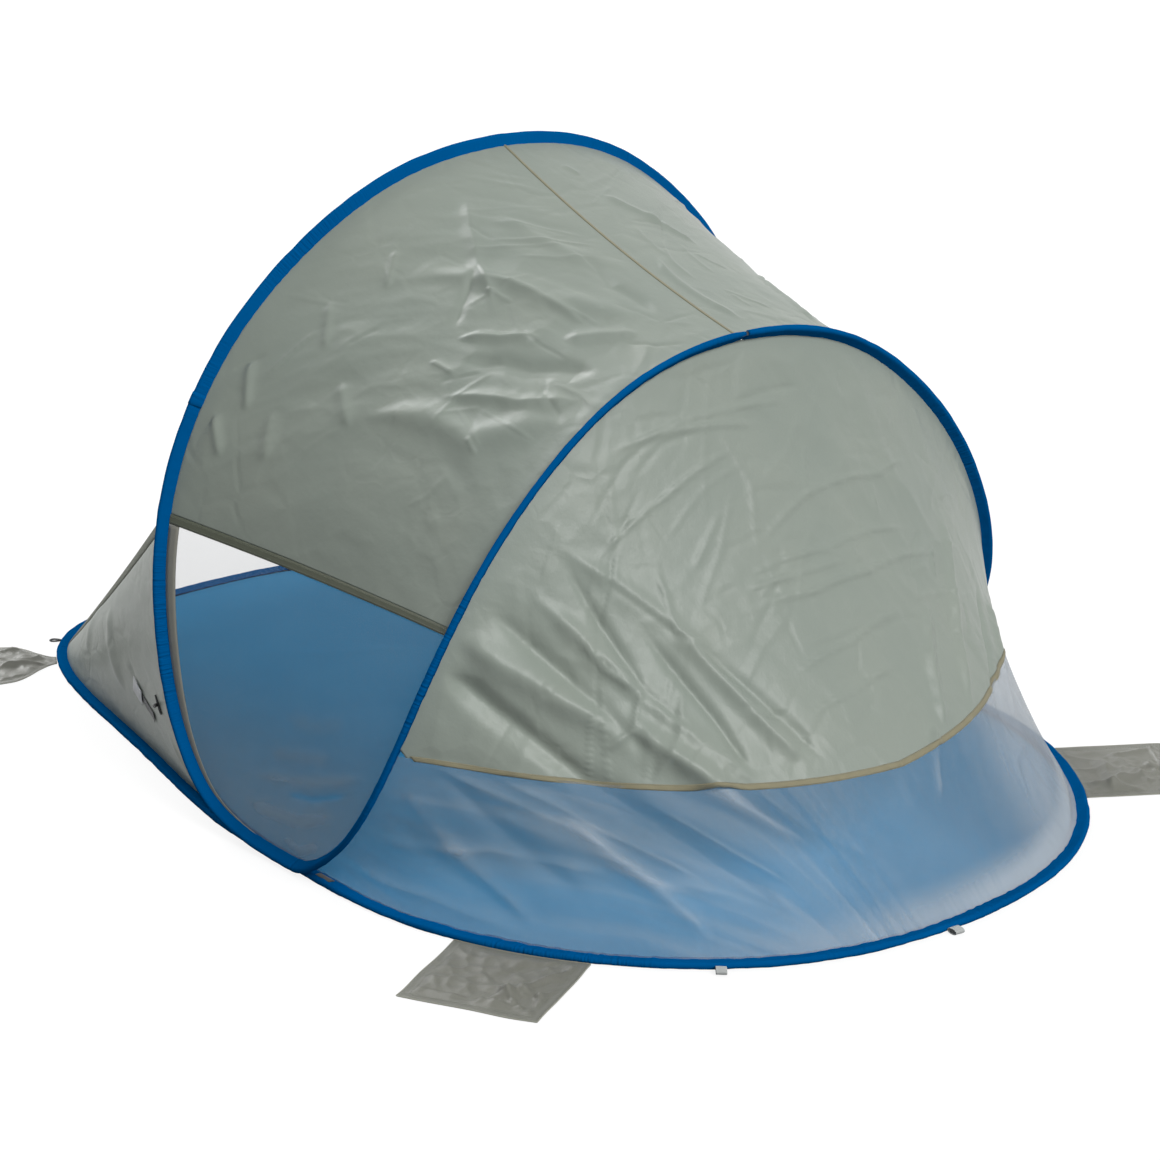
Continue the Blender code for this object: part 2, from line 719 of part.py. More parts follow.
def build_rear():
    """Upper rear panel, the mesh below it, and the tape over the seam between them."""
    first, last = seam_ends()
    around = [0.5 * k for k in range(4 * arch_steps + 1)]
    around = [place for place in around if min(abs(place - first), abs(place - last)) > least_step]
    around = sorted(around + [first, last])
    upper = [place for place in around if first <= place <= last]
    shares = [seam_share(place) for place in upper]
    grid, half = rear_grid(upper, [0.0] * len(upper), shares, panel_rows)
    grid[:, -1] += unit(grid[:, -2] - grid[:, -1]) * half_gap
    seam_half = half[:, -1].copy()
    above = unit(grid[:, -2] - grid[:, -1])
    shell("rear_panel", grid, half, "canopy")
    lows = [seam_share(place) for place in around]
    grid, half = rear_grid(around, lows, [1.0] * len(around), mesh_rows)
    for line, place in enumerate(around):
        if lows[line] > 0:
            grid[line, 0] += unit(grid[line, 1] - grid[line, 0]) * half_gap
            half[line, 0] = seam_half[upper.index(place)]
    shell("rear_mesh", grid, half, "mesh")
    lift = fabric / 2 + clearance + tape_stand_off + tape_thickness / 2
    tape = []
    tape_half = []
    for line, place in enumerate(upper[2:-2], 2):
        below = unit(grid[around.index(place), 1] - grid[around.index(place), 0])
        normal = unit(seam_half[line])
        normal *= math.copysign(1, normal[0] + normal[2])
        seam = rear_point(place, seam_share(place)) + normal * lift
        tape.append([seam + above[line] * tape_width / 2, seam, seam + below * tape_width / 2])
        tape_half.append([normal * tape_thickness / 2] * 3)
    shell("rear_seam_tape", np.array(tape), np.array(tape_half), "tape")


def put_on_hinge(name, place, pieces):
    """Hangs pieces from an empty on their hinge's axis, without moving them."""
    hinge = bpy.data.objects.new(name, None)
    hinge.location = place
    bpy.context.scene.collection.objects.link(hinge)
    for piece in pieces:
        thing = bpy.data.objects[piece]
        thing.parent = hinge
        thing.matrix_parent_inverse = Matrix.Translation(place).inverted()


def outside(band, place, away=0.0):
    """A point on the ground just outside the ground hoop, with the directions outwards and along."""
    centre, across, _ = band.at(place)
    outward = unit(-across)
    point = centre + outward * (half_band + clearance + away)
    point[2] = 0.0
    return point, outward, np.array([-outward[1], outward[0], 0])


def build_pocket(name, band, place, width, flare):
    """A sand pocket lying empty on the ground, sewn to the sleeve's outer edge."""
    origin, outward, along = outside(band, place, pocket_stand_off)
    top = []
    for row in range(pocket_steps + 1):
        out = row / pocket_steps
        wide = width + (flare - width) * out
        line = []
        for column in range(pocket_steps + 1):
            side = column / pocket_steps
            clear = max(0, (out - pocket_flat_margin_share) / (1 - pocket_flat_margin_share))
            puff = math.sin(math.pi * clear) * math.sin(math.pi * side)
            height = pocket_edge_thickness + (pocket_thickness - pocket_edge_thickness) * puff
            line.append(origin + outward * pocket_depth * out + along * wide * (side - 0.5)
                        + np.array([0, 0, height]))
        top.append(line)
    top = np.array(top)
    middle = top * np.array([1, 1, 0.5])
    shell(name, middle, middle * np.array([0, 0, 1.0]), "pocket")
    put_on_hinge(name + "_hinge", origin + np.array([0, 0, pocket_edge_thickness]), [name])


def build_ribbon(name, band, place):
    """A folded ribbon that a peg goes through, standing just outside the sleeve."""
    origin, outward, along = outside(band, place)
    centre = origin + outward * ribbon_length / 2 + np.array([0, 0, ribbon_height / 2])
    ends = np.array([centre - along * ribbon_width / 2, centre + along * ribbon_width / 2])
    band_of_ribbon = Band(ends, np.tile(outward, (2, 1)), np.tile([0.0, 0.0, 1.0], (2, 1)))
    outlines = []
    for inset in (0, ribbon_thickness):
        long = ribbon_length / 2 - inset
        high = ribbon_height / 2 - inset
        corner = high / 2
        outlines.append([(-long, high - corner), (corner - long, high), (long - corner, high),
                         (long, high - corner), (long, corner - high), (long - corner, -high),
                         (corner - long, -high), (-long, corner - high)])
    sweep(name, band_of_ribbon, outlines[0], "ribbon", outlines[1])
    put_on_hinge(name + "_hinge", origin + np.array([0, 0, ribbon_height]), [name])


def build_elastic(name, band, place):
    """An elastic peg loop lying on the ground outside the sleeve."""
    origin, outward, along = outside(band, place)
    centre = origin + outward * elastic_length / 2 + np.array([0, 0, elastic_cord / 2])
    loop_of_cord(name, centre, outward, along, elastic_length, elastic_width, elastic_cord, "elastic")
    put_on_hinge(name + "_hinge", origin + np.array([0, 0, elastic_cord]), [name])


def build_foot_tab(name):
    """A dark tab on the ground sleeve where the arch hoop is sewn down, just behind a foot."""
    step = np.linalg.norm(ground_rear.centre[1] - ground_rear.centre[0])
    low = foot_tab_start / step
    stretch = ground_rear.stretch(low, low + foot_tab_length / step)
    slope = (pocket_half_height - hem_half_height) / (half_band - pocket_centre)
    outline = []
    for across, lift in ((-0.5, 0), (0.5, 0), (0.5, 1), (-0.5, 1)):
        over = across * foot_tab_width
        ground = pocket_half_height - slope * (over - pocket_centre) + clearance
        outline.append((over, ground + lift * foot_tab_thickness))
    near = sweep(name + "_near", stretch, outline, "binding")
    mirrored(name + "_far", near, "binding")


def main():
    clear_scene()
    build_hoops()
    build_floor("floor_front", ground_front)
    build_floor("floor_rear", ground_rear)
    build_sides()
    build_wings()
    build_rear()
    front_place = front_pocket_share * front_ring_steps
    elastic_place = elastic_share * front_ring_steps
    for side, front, elastic in (("near", front_place, elastic_place),
                                 ("far", 2 * front_ring_steps - front_place,
                                  2 * front_ring_steps - elastic_place)):
        build_pocket("sand_pocket_front_" + side, ground_front, front, front_pocket_width, front_pocket_flare)
        build_elastic("peg_loop_front_" + side, ground_front, elastic)
    near_place = rear_near_pocket_share * rear_ring_steps
    far_place = (2 - rear_far_pocket_share) * rear_ring_steps
    build_pocket("sand_pocket_rear_near", ground_rear, near_place, pocket_width, pocket_width)
    build_pocket("sand_pocket_rear_far", ground_rear, far_place, pocket_width, pocket_width)
    build_ribbon("peg_loop_rear_near", ground_rear, loop_near_share * rear_ring_steps)
    build_ribbon("peg_loop_rear_mid", ground_rear, loop_mid_share * rear_ring_steps)
    build_foot_tab("foot_tab")
    put_on_hinge("rear_half", (foot_x, 0, fold_rise), rear_half_pieces)


main()
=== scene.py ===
import math

import bmesh
import bpy
import numpy as np
from mathutils import Matrix, Vector


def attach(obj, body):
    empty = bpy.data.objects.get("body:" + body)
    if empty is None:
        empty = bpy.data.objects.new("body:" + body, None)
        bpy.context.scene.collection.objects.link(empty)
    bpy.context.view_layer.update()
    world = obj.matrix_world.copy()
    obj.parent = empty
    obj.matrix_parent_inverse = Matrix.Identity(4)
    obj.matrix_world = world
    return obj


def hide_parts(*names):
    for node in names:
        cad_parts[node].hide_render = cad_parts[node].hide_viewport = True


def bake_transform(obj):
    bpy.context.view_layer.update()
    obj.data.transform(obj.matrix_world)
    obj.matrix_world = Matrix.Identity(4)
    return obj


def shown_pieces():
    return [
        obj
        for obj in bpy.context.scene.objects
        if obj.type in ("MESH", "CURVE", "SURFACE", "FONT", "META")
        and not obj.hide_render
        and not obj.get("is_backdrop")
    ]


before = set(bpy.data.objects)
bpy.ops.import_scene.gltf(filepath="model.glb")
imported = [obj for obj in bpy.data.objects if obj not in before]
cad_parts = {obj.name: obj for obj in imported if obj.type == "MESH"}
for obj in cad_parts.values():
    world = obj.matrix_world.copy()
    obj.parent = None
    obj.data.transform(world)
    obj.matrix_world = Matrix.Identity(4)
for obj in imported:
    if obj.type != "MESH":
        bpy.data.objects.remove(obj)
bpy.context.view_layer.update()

mm = 0.001
print("frame loaded:", len(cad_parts), "nodes")

tent = {
    "hoopLength": 2.0, "hoopWidth": 1.252, "footX": 0.234,
    "frontHeight": 0.963, "frontLean": 0.261, "rearHeight": 0.738, "rearReach": 0.287,
    "footOffset": 11.8 * mm, "footRise": 12.5 * mm, "groundRise": 4.5 * mm, "middleHeight": 0.45,
    "legSteps": 10, "crownSteps": 8, "frontRingSteps": 22,
    "hemHeightFront": 0.455, "hemHeightRear": 0.400,
    "wingTopHeight": 0.485, "wingCornerShare": 0.750,
    "seamLegHeight": 0.243, "seamBackHeight": 0.198, "seamTip": 5 * mm,
    "canopySag": 15 * mm, "wingSag": 6 * mm, "rearSag": 38 * mm,
}
outlineShares = {
    "groundFront": [(0, .988), (.08, .988), (.20, .986), (.52, .825), (.917, .705), (1, .384), (1, 0)],
    "groundRear": [(0, .988), (.207, 1.003), (.43, .964), (.787, .735), (1, .35), (1, 0)],
    "archFront": [(0, 1, 0), (.697, 1, 0), (1.029, 1.016, .075), (1.165, 1.034, .253), (1.215, 1.012, .487),
                  (1.163, .857, .716), (1.076, .58, .897), (1, .26, 1), (1, 0, 1)],
    "archRear": [(0, 1, 0), (.10, 1, 0), (.480, 1.004, .093), (.827, .995, .290), (.962, .858, .571),
                 (1, .602, .841), (1, .268, 1), (1, 0, 1)],
}
archSteps = tent["legSteps"] + tent["crownSteps"]
halfLength = tent["hoopLength"] / 2
halfWidth = tent["hoopWidth"] / 2
stationRows = 12  # rows of a band between two whole stations
halves = ("front_half", "rear_half")
foldZone = {"start": (0.08, 0, 0), "end": (0.40, 0, 0)}  # where the canopy and sides slacken in the fold
footZone = {"start": (0.216, 0, 0), "end": (0.252, 0, 0)}  # where sleeves and floor bend in the fold
tentMiddle = (tent["footX"], 0, tent["middleHeight"])


# Hoops: outlines, and the directions across them and out of them
def unit(vectors):
    return vectors / np.maximum(np.linalg.norm(vectors, axis=-1, keepdims=True), 1e-12)


def bSpline(controls, count=900):
    controls = np.array(controls, float)
    degree = 3
    inner = len(controls) - degree
    knots = np.concatenate([np.zeros(degree), np.linspace(0, 1, inner + 1), np.ones(degree)])
    points = []
    for place in np.linspace(0, 1, count):
        span = min(int(place * inner), inner - 1) + degree
        work = controls[span - degree:span + 1].copy()
        for level in range(1, degree + 1):
            for row in range(degree, level - 1, -1):
                low = knots[row + span - degree]
                high = knots[row + 1 + span - level]
                share = (place - low) / (high - low)
                work[row] = (1 - share) * work[row - 1] + share * work[row]
        points.append(work[degree])
    return np.array(points)


def lengthsAlong(path):
    return np.concatenate([[0], np.cumsum(np.linalg.norm(np.diff(path, axis=0), axis=1))])


def makeBand(half, lengthStops, stationStops, across=None):
    # half runs from the near foot to the middle; the far half mirrors it
    along = lengthsAlong(half)
    steps = stationStops[-1]
    stations = np.linspace(0, steps, steps * stationRows + 1)
    wanted = np.interp(stations, stationStops, lengthStops)
    points = np.stack([np.interp(wanted, along, half[:, axis]) for axis in range(3)], axis=1)
    points = np.concatenate([points, points[-2::-1] * np.array([1, -1, 1])])
    stations = np.concatenate([stations, 2 * steps - stations[-2::-1]])
    direction = np.gradient(points, axis=0)
    direction[0] = [points[1][0] - points[0][0], 0, 0]
    direction[-1] = [points[-1][0] - points[-2][0], 0, 0]
    direction = unit(direction)
    if across is None:
        towards = np.array(tentMiddle) - points
        inward = unit(towards - direction * np.sum(towards * direction, axis=1, keepdims=True))
        face = np.cross(inward, direction)
    else:
        inward = across * np.stack([-direction[:, 1], direction[:, 0], np.zeros(len(points))], axis=1)
        face = np.tile([0.0, 0.0, 1.0], (len(points), 1))
    along = lengthsAlong(points)
    return {"stations": stations, "centre": points, "across": inward, "face": face, "along": along}


def groundBand(shares, run, steps):
    half = bSpline([(tent["footX"] + run * far, -halfWidth * wide, tent["groundRise"])
                    for far, wide in shares])
    return makeBand(half, [0, lengthsAlong(half)[-1]], [0, steps], across=math.copysign(1, run))


def archBand(shares, run, height, hemHeight):
    footY = halfWidth * outlineShares["groundRear"][0][1] + tent["footOffset"]
    half = bSpline([(tent["footX"] + run * far, -footY * wide, tent["footRise"] + height * high)
                    for far, wide, high in shares])
    along = lengthsAlong(half)
    atHem = np.interp(tent["footRise"] + hemHeight, half[:, 2], along)
    return makeBand(half, [0, atHem, along[-1]], [0, tent["legSteps"], archSteps])


def bandRows(band, stations):
    stations = np.asarray(stations, float)
    return [np.stack([np.interp(stations, band["stations"], values) for values in band[key].T], axis=-1)
            for key in ("centre", "across", "face")]


def onBand(band, stations, over, lift):
    # over is measured towards the inner edge, lift out of the band's face
    centre, across, face = bandRows(band, stations)
    return centre + unit(across) * over + unit(face) * lift


def stationAtHeight(band, height):
    # on the near side of an arch
    half = archSteps * stationRows + 1
    return float(np.interp(tent["footRise"] + height, band["centre"][:half, 2], band["stations"][:half]))


def lastStation(band):
    return band["stations"][-1]


groundFront = groundBand(outlineShares["groundFront"], -(halfLength + tent["footX"]), tent["frontRingSteps"])
groundRear = groundBand(outlineShares["groundRear"], halfLength - tent["footX"], archSteps)
archFront = archBand(outlineShares["archFront"], -tent["frontLean"], tent["frontHeight"],
                     tent["hemHeightFront"])
archRear = archBand(outlineShares["archRear"], tent["rearReach"], tent["rearHeight"], tent["hemHeightRear"])


# Seeded noise and folds, as heights over a panel
noiseSize = 64  # cells of a noise table before it repeats


def valueNoise(x, y, seed):
    table = np.random.default_rng(seed).uniform(-1, 1, (noiseSize, noiseSize))
    column = np.floor(x).astype(int)
    row = np.floor(y).astype(int)
    right = x - column
    up = y - row
    right = right * right * (3 - 2 * right)
    up = up * up * (3 - 2 * up)
    a = table[row % noiseSize, column % noiseSize]
    b = table[row % noiseSize, (column + 1) % noiseSize]
    c = table[(row + 1) % noiseSize, column % noiseSize]
    d = table[(row + 1) % noiseSize, (column + 1) % noiseSize]
    return (1 - up) * ((1 - right) * a + right * b) + up * ((1 - right) * c + right * d)


def layeredNoise(x, y, seed, layers=3):
    total = 0.0
    for layer in range(layers):
        finer = 2 ** layer
        total = total + valueNoise(x * finer + 7 * layer, y * finer + 3 * layer, seed + layer) / finer
    return total


def ridgedNoise(x, y, seed, layers=2):
    # sharp light lines between flat facets, as in cloth that was folded small
    total = 0.0
    for layer in range(layers):
        finer = 2 ** layer
        value = valueNoise(x * finer + 5 * layer, y * finer + 9 * layer, seed + layer)
        total = total + (1 - np.abs(value) * 2) / finer
    return total


def facetNoise(x, y, size, seed):
    # flat facets between straight creases, as on thin cloth that was packed small
    table = np.random.default_rng(seed).uniform(0.12, 0.88, (noiseSize, noiseSize, 2))
    x = x / size
    y = y / size
    column = np.floor(x).astype(int)
    row = np.floor(y).astype(int)
    least = np.full(x.shape, 9.0)
    for down in (-1, 0, 1):
        for over in (-1, 0, 1):
            spot = table[(row + down) % noiseSize, (column + over) % noiseSize]
            gapX = column + over + spot[..., 0] - x
            gapY = row + down + spot[..., 1] - y
            least = np.minimum(least, gapX ** 2 + gapY ** 2)
    return least


def crumples(x, y, size, height, seed, slant=0.0):
    # facets that come and go over the panel, bent a little so that few creases run straight
    bentX = x + slant * y + 0.25 * size * valueNoise(x / size / 1.7, y / size / 1.7, seed + 1)
    bentY = y + 0.25 * size * valueNoise(x / size / 1.9 + 8, y / size / 1.9, seed + 2)
    where = smoothStep(-0.35, 0.55, valueNoise(x / size / 2.6, y / size / 2.2, seed + 3))
    return height * where * (facetNoise(bentX, bentY, size, seed) - 0.25)


def smoothStep(low, high, value):
    share = np.clip((value - low) / (high - low), 0, 1)
    return share * share * (3 - 2 * share)


def drawFolds(x, y, folds):
    # each fold: points along it, half width and height in mm, and how sharp its top is from 0 to 1
    total = np.zeros_like(x)
    for points, width, height, sharp in folds:
        best = np.full(x.shape, 1e9)
        spot = np.zeros_like(x)
        count = len(points) - 1
        for step in range(count):
            startX, startY = points[step]
            runX, runY = points[step + 1][0] - startX, points[step + 1][1] - startY
            share = np.clip(((x - startX) * runX + (y - startY) * runY) / (runX ** 2 + runY ** 2), 0, 1)
            gap = np.hypot(x - startX - share * runX, y - startY - share * runY)
            closer = gap < best
            best = np.where(closer, gap, best)
            spot = np.where(closer, (step + share) / count, spot)
        taper = smoothStep(0, 0.22, spot) * smoothStep(0, 0.22, 1 - spot)
        reach = best / (width * mm * (0.45 + 0.55 * taper))
        soft = np.exp(-reach ** 2)
        crisp = np.exp(-np.abs(reach) * 1.6)
        total += height * mm * taper * ((1 - sharp) * soft + sharp * crisp)
    return total


def randomFolds(seed, count, low, high, angle, spread, lengths, width, height, sharp):
    # folds for drawFolds, between the corners low and high and about an angle in degrees
    dice = np.random.default_rng(seed)
    folds = []
    for _ in range(count):
        x, y = dice.uniform(low, high)
        turn = math.radians(angle + dice.normal() * spread)
        long = dice.uniform(*lengths) / 2
        bend = dice.normal() * 0.12 * long
        dx, dy = math.cos(turn), math.sin(turn)
        points = [(x - dx * long, y - dy * long), (x - dy * bend, y + dx * bend),
                  (x + dx * long, y + dy * long)]
        folds.append((points, dice.uniform(*width), dice.uniform(*height) * dice.choice([-1, 1]), sharp))
    return folds


# Meshes
def newPiece(name, points, faces, material, uvs=None):
    mesh = bpy.data.meshes.new(name)
    points = np.asarray(points, np.float32).reshape(-1, 3)
    faces = np.asarray(faces, np.int32)
    mesh.vertices.add(len(points))
    mesh.vertices.foreach_set("co", points.ravel())
    mesh.loops.add(faces.size)
    mesh.loops.foreach_set("vertex_index", faces.ravel())
    mesh.polygons.add(len(faces))
    mesh.polygons.foreach_set("loop_start", np.arange(0, faces.size, faces.shape[1], dtype=np.int32))
    mesh.update(calc_edges=True)
    mesh.validate()
    if uvs is not None:
        layer = mesh.uv_layers.new(name="UVMap")
        layer.data.foreach_set("uv", np.asarray(uvs, np.float32)[faces.ravel()].ravel())
    mesh.materials.append(material)
    mesh.shade_smooth()
    piece = bpy.data.objects.new(name, mesh)
    bpy.context.scene.collection.objects.link(piece)
    return piece


def gridFaces(rows, columns, roundRows=False, roundColumns=False):
    row, column = np.meshgrid(np.arange(rows if roundRows else rows - 1),
                              np.arange(columns if roundColumns else columns - 1), indexing="ij")
    a = row * columns + column
    b = row * columns + (column + 1) % columns
    c = (row + 1) % rows * columns + (column + 1) % columns
    d = (row + 1) % rows * columns + column
    return np.stack([a, b, c, d], axis=-1).reshape(-1, 4)


def gridNormals(grid, outwardFrom):
    cross = np.cross(np.gradient(grid, axis=0), np.gradient(grid, axis=1))
    normals = unit(cross)
    sign = np.sign(np.sum(normals * (grid - np.array(outwardFrom)), axis=-1).mean())
    return normals * sign


def gridUvs(grid):
    # metres along the rows, and the mean metres down the columns, so a weave keeps its real size
    wide = np.linalg.norm(np.diff(grid, axis=1), axis=2).cumsum(axis=1)
    wide = np.concatenate([np.zeros((len(grid), 1)), wide], axis=1)
    wide -= wide[:, -1:] / 2
    long = np.linalg.norm(np.diff(grid, axis=0), axis=2).mean(axis=1).cumsum()
    long = np.concatenate([[0], long])
    return np.stack([wide, np.repeat(long[:, None], grid.shape[1], axis=1)], axis=-1).reshape(-1, 2)


def bake(piece):
    # modifiers become plain mesh before any call that binds the piece to a body
    solid = bpy.data.meshes.new_from_object(piece.evaluated_get(bpy.context.evaluated_depsgraph_get()))
    piece.modifiers.clear()
    old = piece.data
    piece.data = solid
    bpy.data.meshes.remove(old)
    piece.data.shade_smooth()
    return piece


def facesOut(piece):
    work = bmesh.new()
    work.from_mesh(piece.data)
    bmesh.ops.recalc_face_normals(work, faces=work.faces)
    work.to_mesh(piece.data)
    work.free()
    return piece


def thicken(piece, thickness):
    wall = piece.modifiers.new("thickness", "SOLIDIFY")
    wall.thickness = thickness
    wall.offset = 0
    return facesOut(bake(piece))


def clothPiece(name, grid, material, thickness, uvs=None):
    piece = newPiece(name, grid, gridFaces(*grid.shape[:2]), material, gridUvs(grid) if uvs is None else uvs)
    return thicken(piece, thickness)


def addEdge(piece, values):
    # how dense and how pale each point of a net is drawn, kept on both faces of the piece for its material
    both = np.tile(values.ravel(), len(piece.data.vertices) // values.size)
    piece.data.attributes.new("edge", "FLOAT", "POINT").data.foreach_set("value", both.astype(np.float32))


def dress(piece, slot, *bodies, zone=None, nodes=()):
    # hides the CAD nodes that a piece stands for, and ties it to the body that it moves with, or with a zone
    # only bakes its place into its mesh
    if nodes:
        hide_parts(*nodes)
    if zone:
        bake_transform(piece)
    else:
        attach(piece, *bodies)


def nodeFrame(node):
    # middle and main directions of a small node, longest first
    points = np.array([v.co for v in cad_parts[node].data.vertices], float)
    centre = (points.min(0) + points.max(0)) / 2
    _, _, directions = np.linalg.svd(points - points.mean(0))
    return centre, directions


# Materials
def linear(code):
    values = [int(code[k:k + 2], 16) / 255 for k in (1, 3, 5)]
    return tuple([v / 12.92 if v <= 0.04045 else ((v + 0.055) / 1.055) ** 2.4 for v in values] + [1.0])


def addNode(tree, kind, settings=None, links=None):
    node = tree.nodes.new(kind)
    for key, value in (settings or {}).items():
        if isinstance(key, int) or key in node.inputs:
            node.inputs[key].default_value = value
        else:
            setattr(node, key, value)
    for key, source in (links or {}).items():
        # a node given as the source stands for its first output
        tree.links.new(source.outputs[0] if isinstance(source, bpy.types.Node) else source, node.inputs[key])
    return node


waveScale = math.tau / 20  # how far apart a Wave Texture's bands are at scale 1
# sizes of what is uneven: slubs, clouds of tone and creases in cloth, pleats and where they are gathered
patterns = {"slub": 38.46 * mm, "cloud": 181.8 * mm, "crease": 66.67 * mm, "creaseBend": 70 * mm,
            "pleatWidth": 4.348 * mm, "pleatLength": 45.45 * mm, "gathered": 312.5 * mm,
            "netCloud": 111.1 * mm, "tapeCloud": 16.67 * mm}


def startMaterial(name):
    made = bpy.data.materials.new(name)
    made.use_nodes = True
    shader = made.node_tree.nodes["Principled BSDF"]
    return made, made.node_tree, shader


def wovenCloth(name, look):
    # Polyester taffeta, woven flat and coated: an even, slightly silky face whose creases catch light.
    # Threads are 0.25 mm apart on the real cloth and are drawn at the pitch given, so that they show.
    made, tree, shader = startMaterial(name)
    place = addNode(tree, "ShaderNodeTexCoord").outputs["UV"]
    warp, weft = [addNode(tree, "ShaderNodeTexWave", {
        "bands_direction": way, "Scale": waveScale / look["pitch"], "Distortion": 0.6, "Detail": 1.0},
        {"Vector": place}) for way in "XY"]
    weave = addNode(tree, "ShaderNodeMath", {"operation": "MULTIPLY"},
                    {0: warp.outputs["Fac"], 1: weft.outputs["Fac"]})
    slub = addNode(tree, "ShaderNodeTexNoise",
                   {"Scale": 1 / patterns["slub"], "Detail": 5.0, "Roughness": 0.62}, {"Vector": place})
    cloud = addNode(tree, "ShaderNodeTexNoise", {"Scale": 1 / patterns["cloud"], "Detail": 3.0},
                    {"Vector": place})
    tone = addNode(tree, "ShaderNodeMix",
                   {"data_type": "RGBA", 6: linear(look["dark"]), 7: linear(look["light"])},
                   {0: cloud.outputs["Fac"]})
    threads = addNode(tree, "ShaderNodeMapRange", {"To Min": 1 - look["threadShade"], "To Max": 1.0},
                      {"Value": weave})
    colour = addNode(tree, "ShaderNodeMix", {"data_type": "RGBA", "blend_type": "MULTIPLY", 0: 1.0},
                     {6: tone.outputs[2], 7: threads})
    crumple = addNode(tree, "ShaderNodeBump", {"Strength": look["crumple"], "Distance": 4 * mm},
                      {"Height": slub.outputs["Fac"]})
    bend = addNode(tree, "ShaderNodeVectorMath",
                   {"operation": "MULTIPLY_ADD", 1: (patterns["creaseBend"], patterns["creaseBend"], 0)},
                   {0: cloud.outputs["Color"], 2: place})
    cracks = addNode(tree, "ShaderNodeTexVoronoi",
                     {"feature": "DISTANCE_TO_EDGE", "Scale": 1 / patterns["crease"]}, {"Vector": bend})
    line = addNode(tree, "ShaderNodeMapRange", {"From Max": 0.16, "interpolation_type": "SMOOTHSTEP"},
                   {"Value": cracks})
    patch = addNode(tree, "ShaderNodeMapRange", {"From Min": 0.44, "From Max": 0.60},
                    {"Value": cloud.outputs["Fac"]})
    marks = addNode(tree, "ShaderNodeMath", {"operation": "MULTIPLY"}, {0: line, 1: patch})
    crease = addNode(tree, "ShaderNodeBump", {"Strength": look["crease"], "Distance": 2.5 * mm},
                     {"Height": marks, "Normal": crumple})
    grain = addNode(tree, "ShaderNodeBump", {"Strength": look["grain"], "Distance": 0.4 * mm},
                    {"Height": weave, "Normal": crease})
    rough = addNode(tree, "ShaderNodeMapRange",
                    {"To Min": look["rough"] - 0.06, "To Max": look["rough"] + 0.06},
                    {"Value": slub.outputs["Fac"]})
    tree.links.new(colour.outputs[2], shader.inputs["Base Color"])
    tree.links.new(rough.outputs["Result"], shader.inputs["Roughness"])
    tree.links.new(grain.outputs["Normal"], shader.inputs["Normal"])
    shader.inputs["Sheen Weight"].default_value = look["sheen"]
    shader.inputs["Sheen Roughness"].default_value = 0.4
    shader.inputs["Specular IOR Level"].default_value = look["specular"]
    return made


def sleeveCloth(name, look):
    # The same cloth, dyed bright blue and folded over the rod. Its inner edge has a dark navy band, painted
    # shade in the seam where the panel meets the sleeve, and a narrow tan tape, and in places it is gathered
    # into fine pleats across the rod.
    made = wovenCloth(name, look)
    tree = made.node_tree
    shader = tree.nodes["Principled BSDF"]
    base = shader.inputs["Base Color"].links[0].from_socket
    surface = shader.inputs["Normal"].links[0].from_socket
    place = addNode(tree, "ShaderNodeTexCoord").outputs["UV"]
    split = addNode(tree, "ShaderNodeSeparateXYZ", None, {"Vector": place})
    # the first mask paints shade: a dark navy band along the hem's inner edge, in the seam with the panel
    fold, tape = [addNode(tree, "ShaderNodeMapRange", {
        "From Min": low * mm, "From Max": high * mm, "interpolation_type": "SMOOTHSTEP"},
        {"Value": split.outputs["Y"]}) for low, high in ((26.2, 27.0), (28.0, 28.4))]
    seamShaded = addNode(tree, "ShaderNodeMix", {"data_type": "RGBA", 7: linear(look["fold"])},
                     {0: fold, 6: base})
    edged = addNode(tree, "ShaderNodeMix", {"data_type": "RGBA", 7: linear(look["tape"])},
                    {0: tape, 6: seamShaded.outputs[2]})
    across = addNode(tree, "ShaderNodeMapping",
                     {"Scale": (1 / patterns["pleatWidth"], 1 / patterns["pleatLength"], 1.0)},
                     {"Vector": place})
    pleats = addNode(tree, "ShaderNodeTexNoise", {"Scale": 1.0, "Detail": 2.0, "Distortion": 0.4},
                     {"Vector": across})
    where = addNode(tree, "ShaderNodeTexNoise", {"Scale": 1 / patterns["gathered"], "Detail": 1.0},
                    {"Vector": place})
    share = addNode(tree, "ShaderNodeMapRange", {"From Min": 0.44, "From Max": 0.60},
                    {"Value": where.outputs["Fac"]})
    depth = addNode(tree, "ShaderNodeMath", {"operation": "MULTIPLY"}, {0: pleats.outputs["Fac"], 1: share})
    gathered = addNode(tree, "ShaderNodeBump", {"Strength": 0.9, "Distance": 3.6 * mm},
                       {"Height": depth, "Normal": surface})
    tree.links.new(edged.outputs[2], shader.inputs["Base Color"])
    tree.links.new(gathered.outputs["Normal"], shader.inputs["Normal"])
    return made


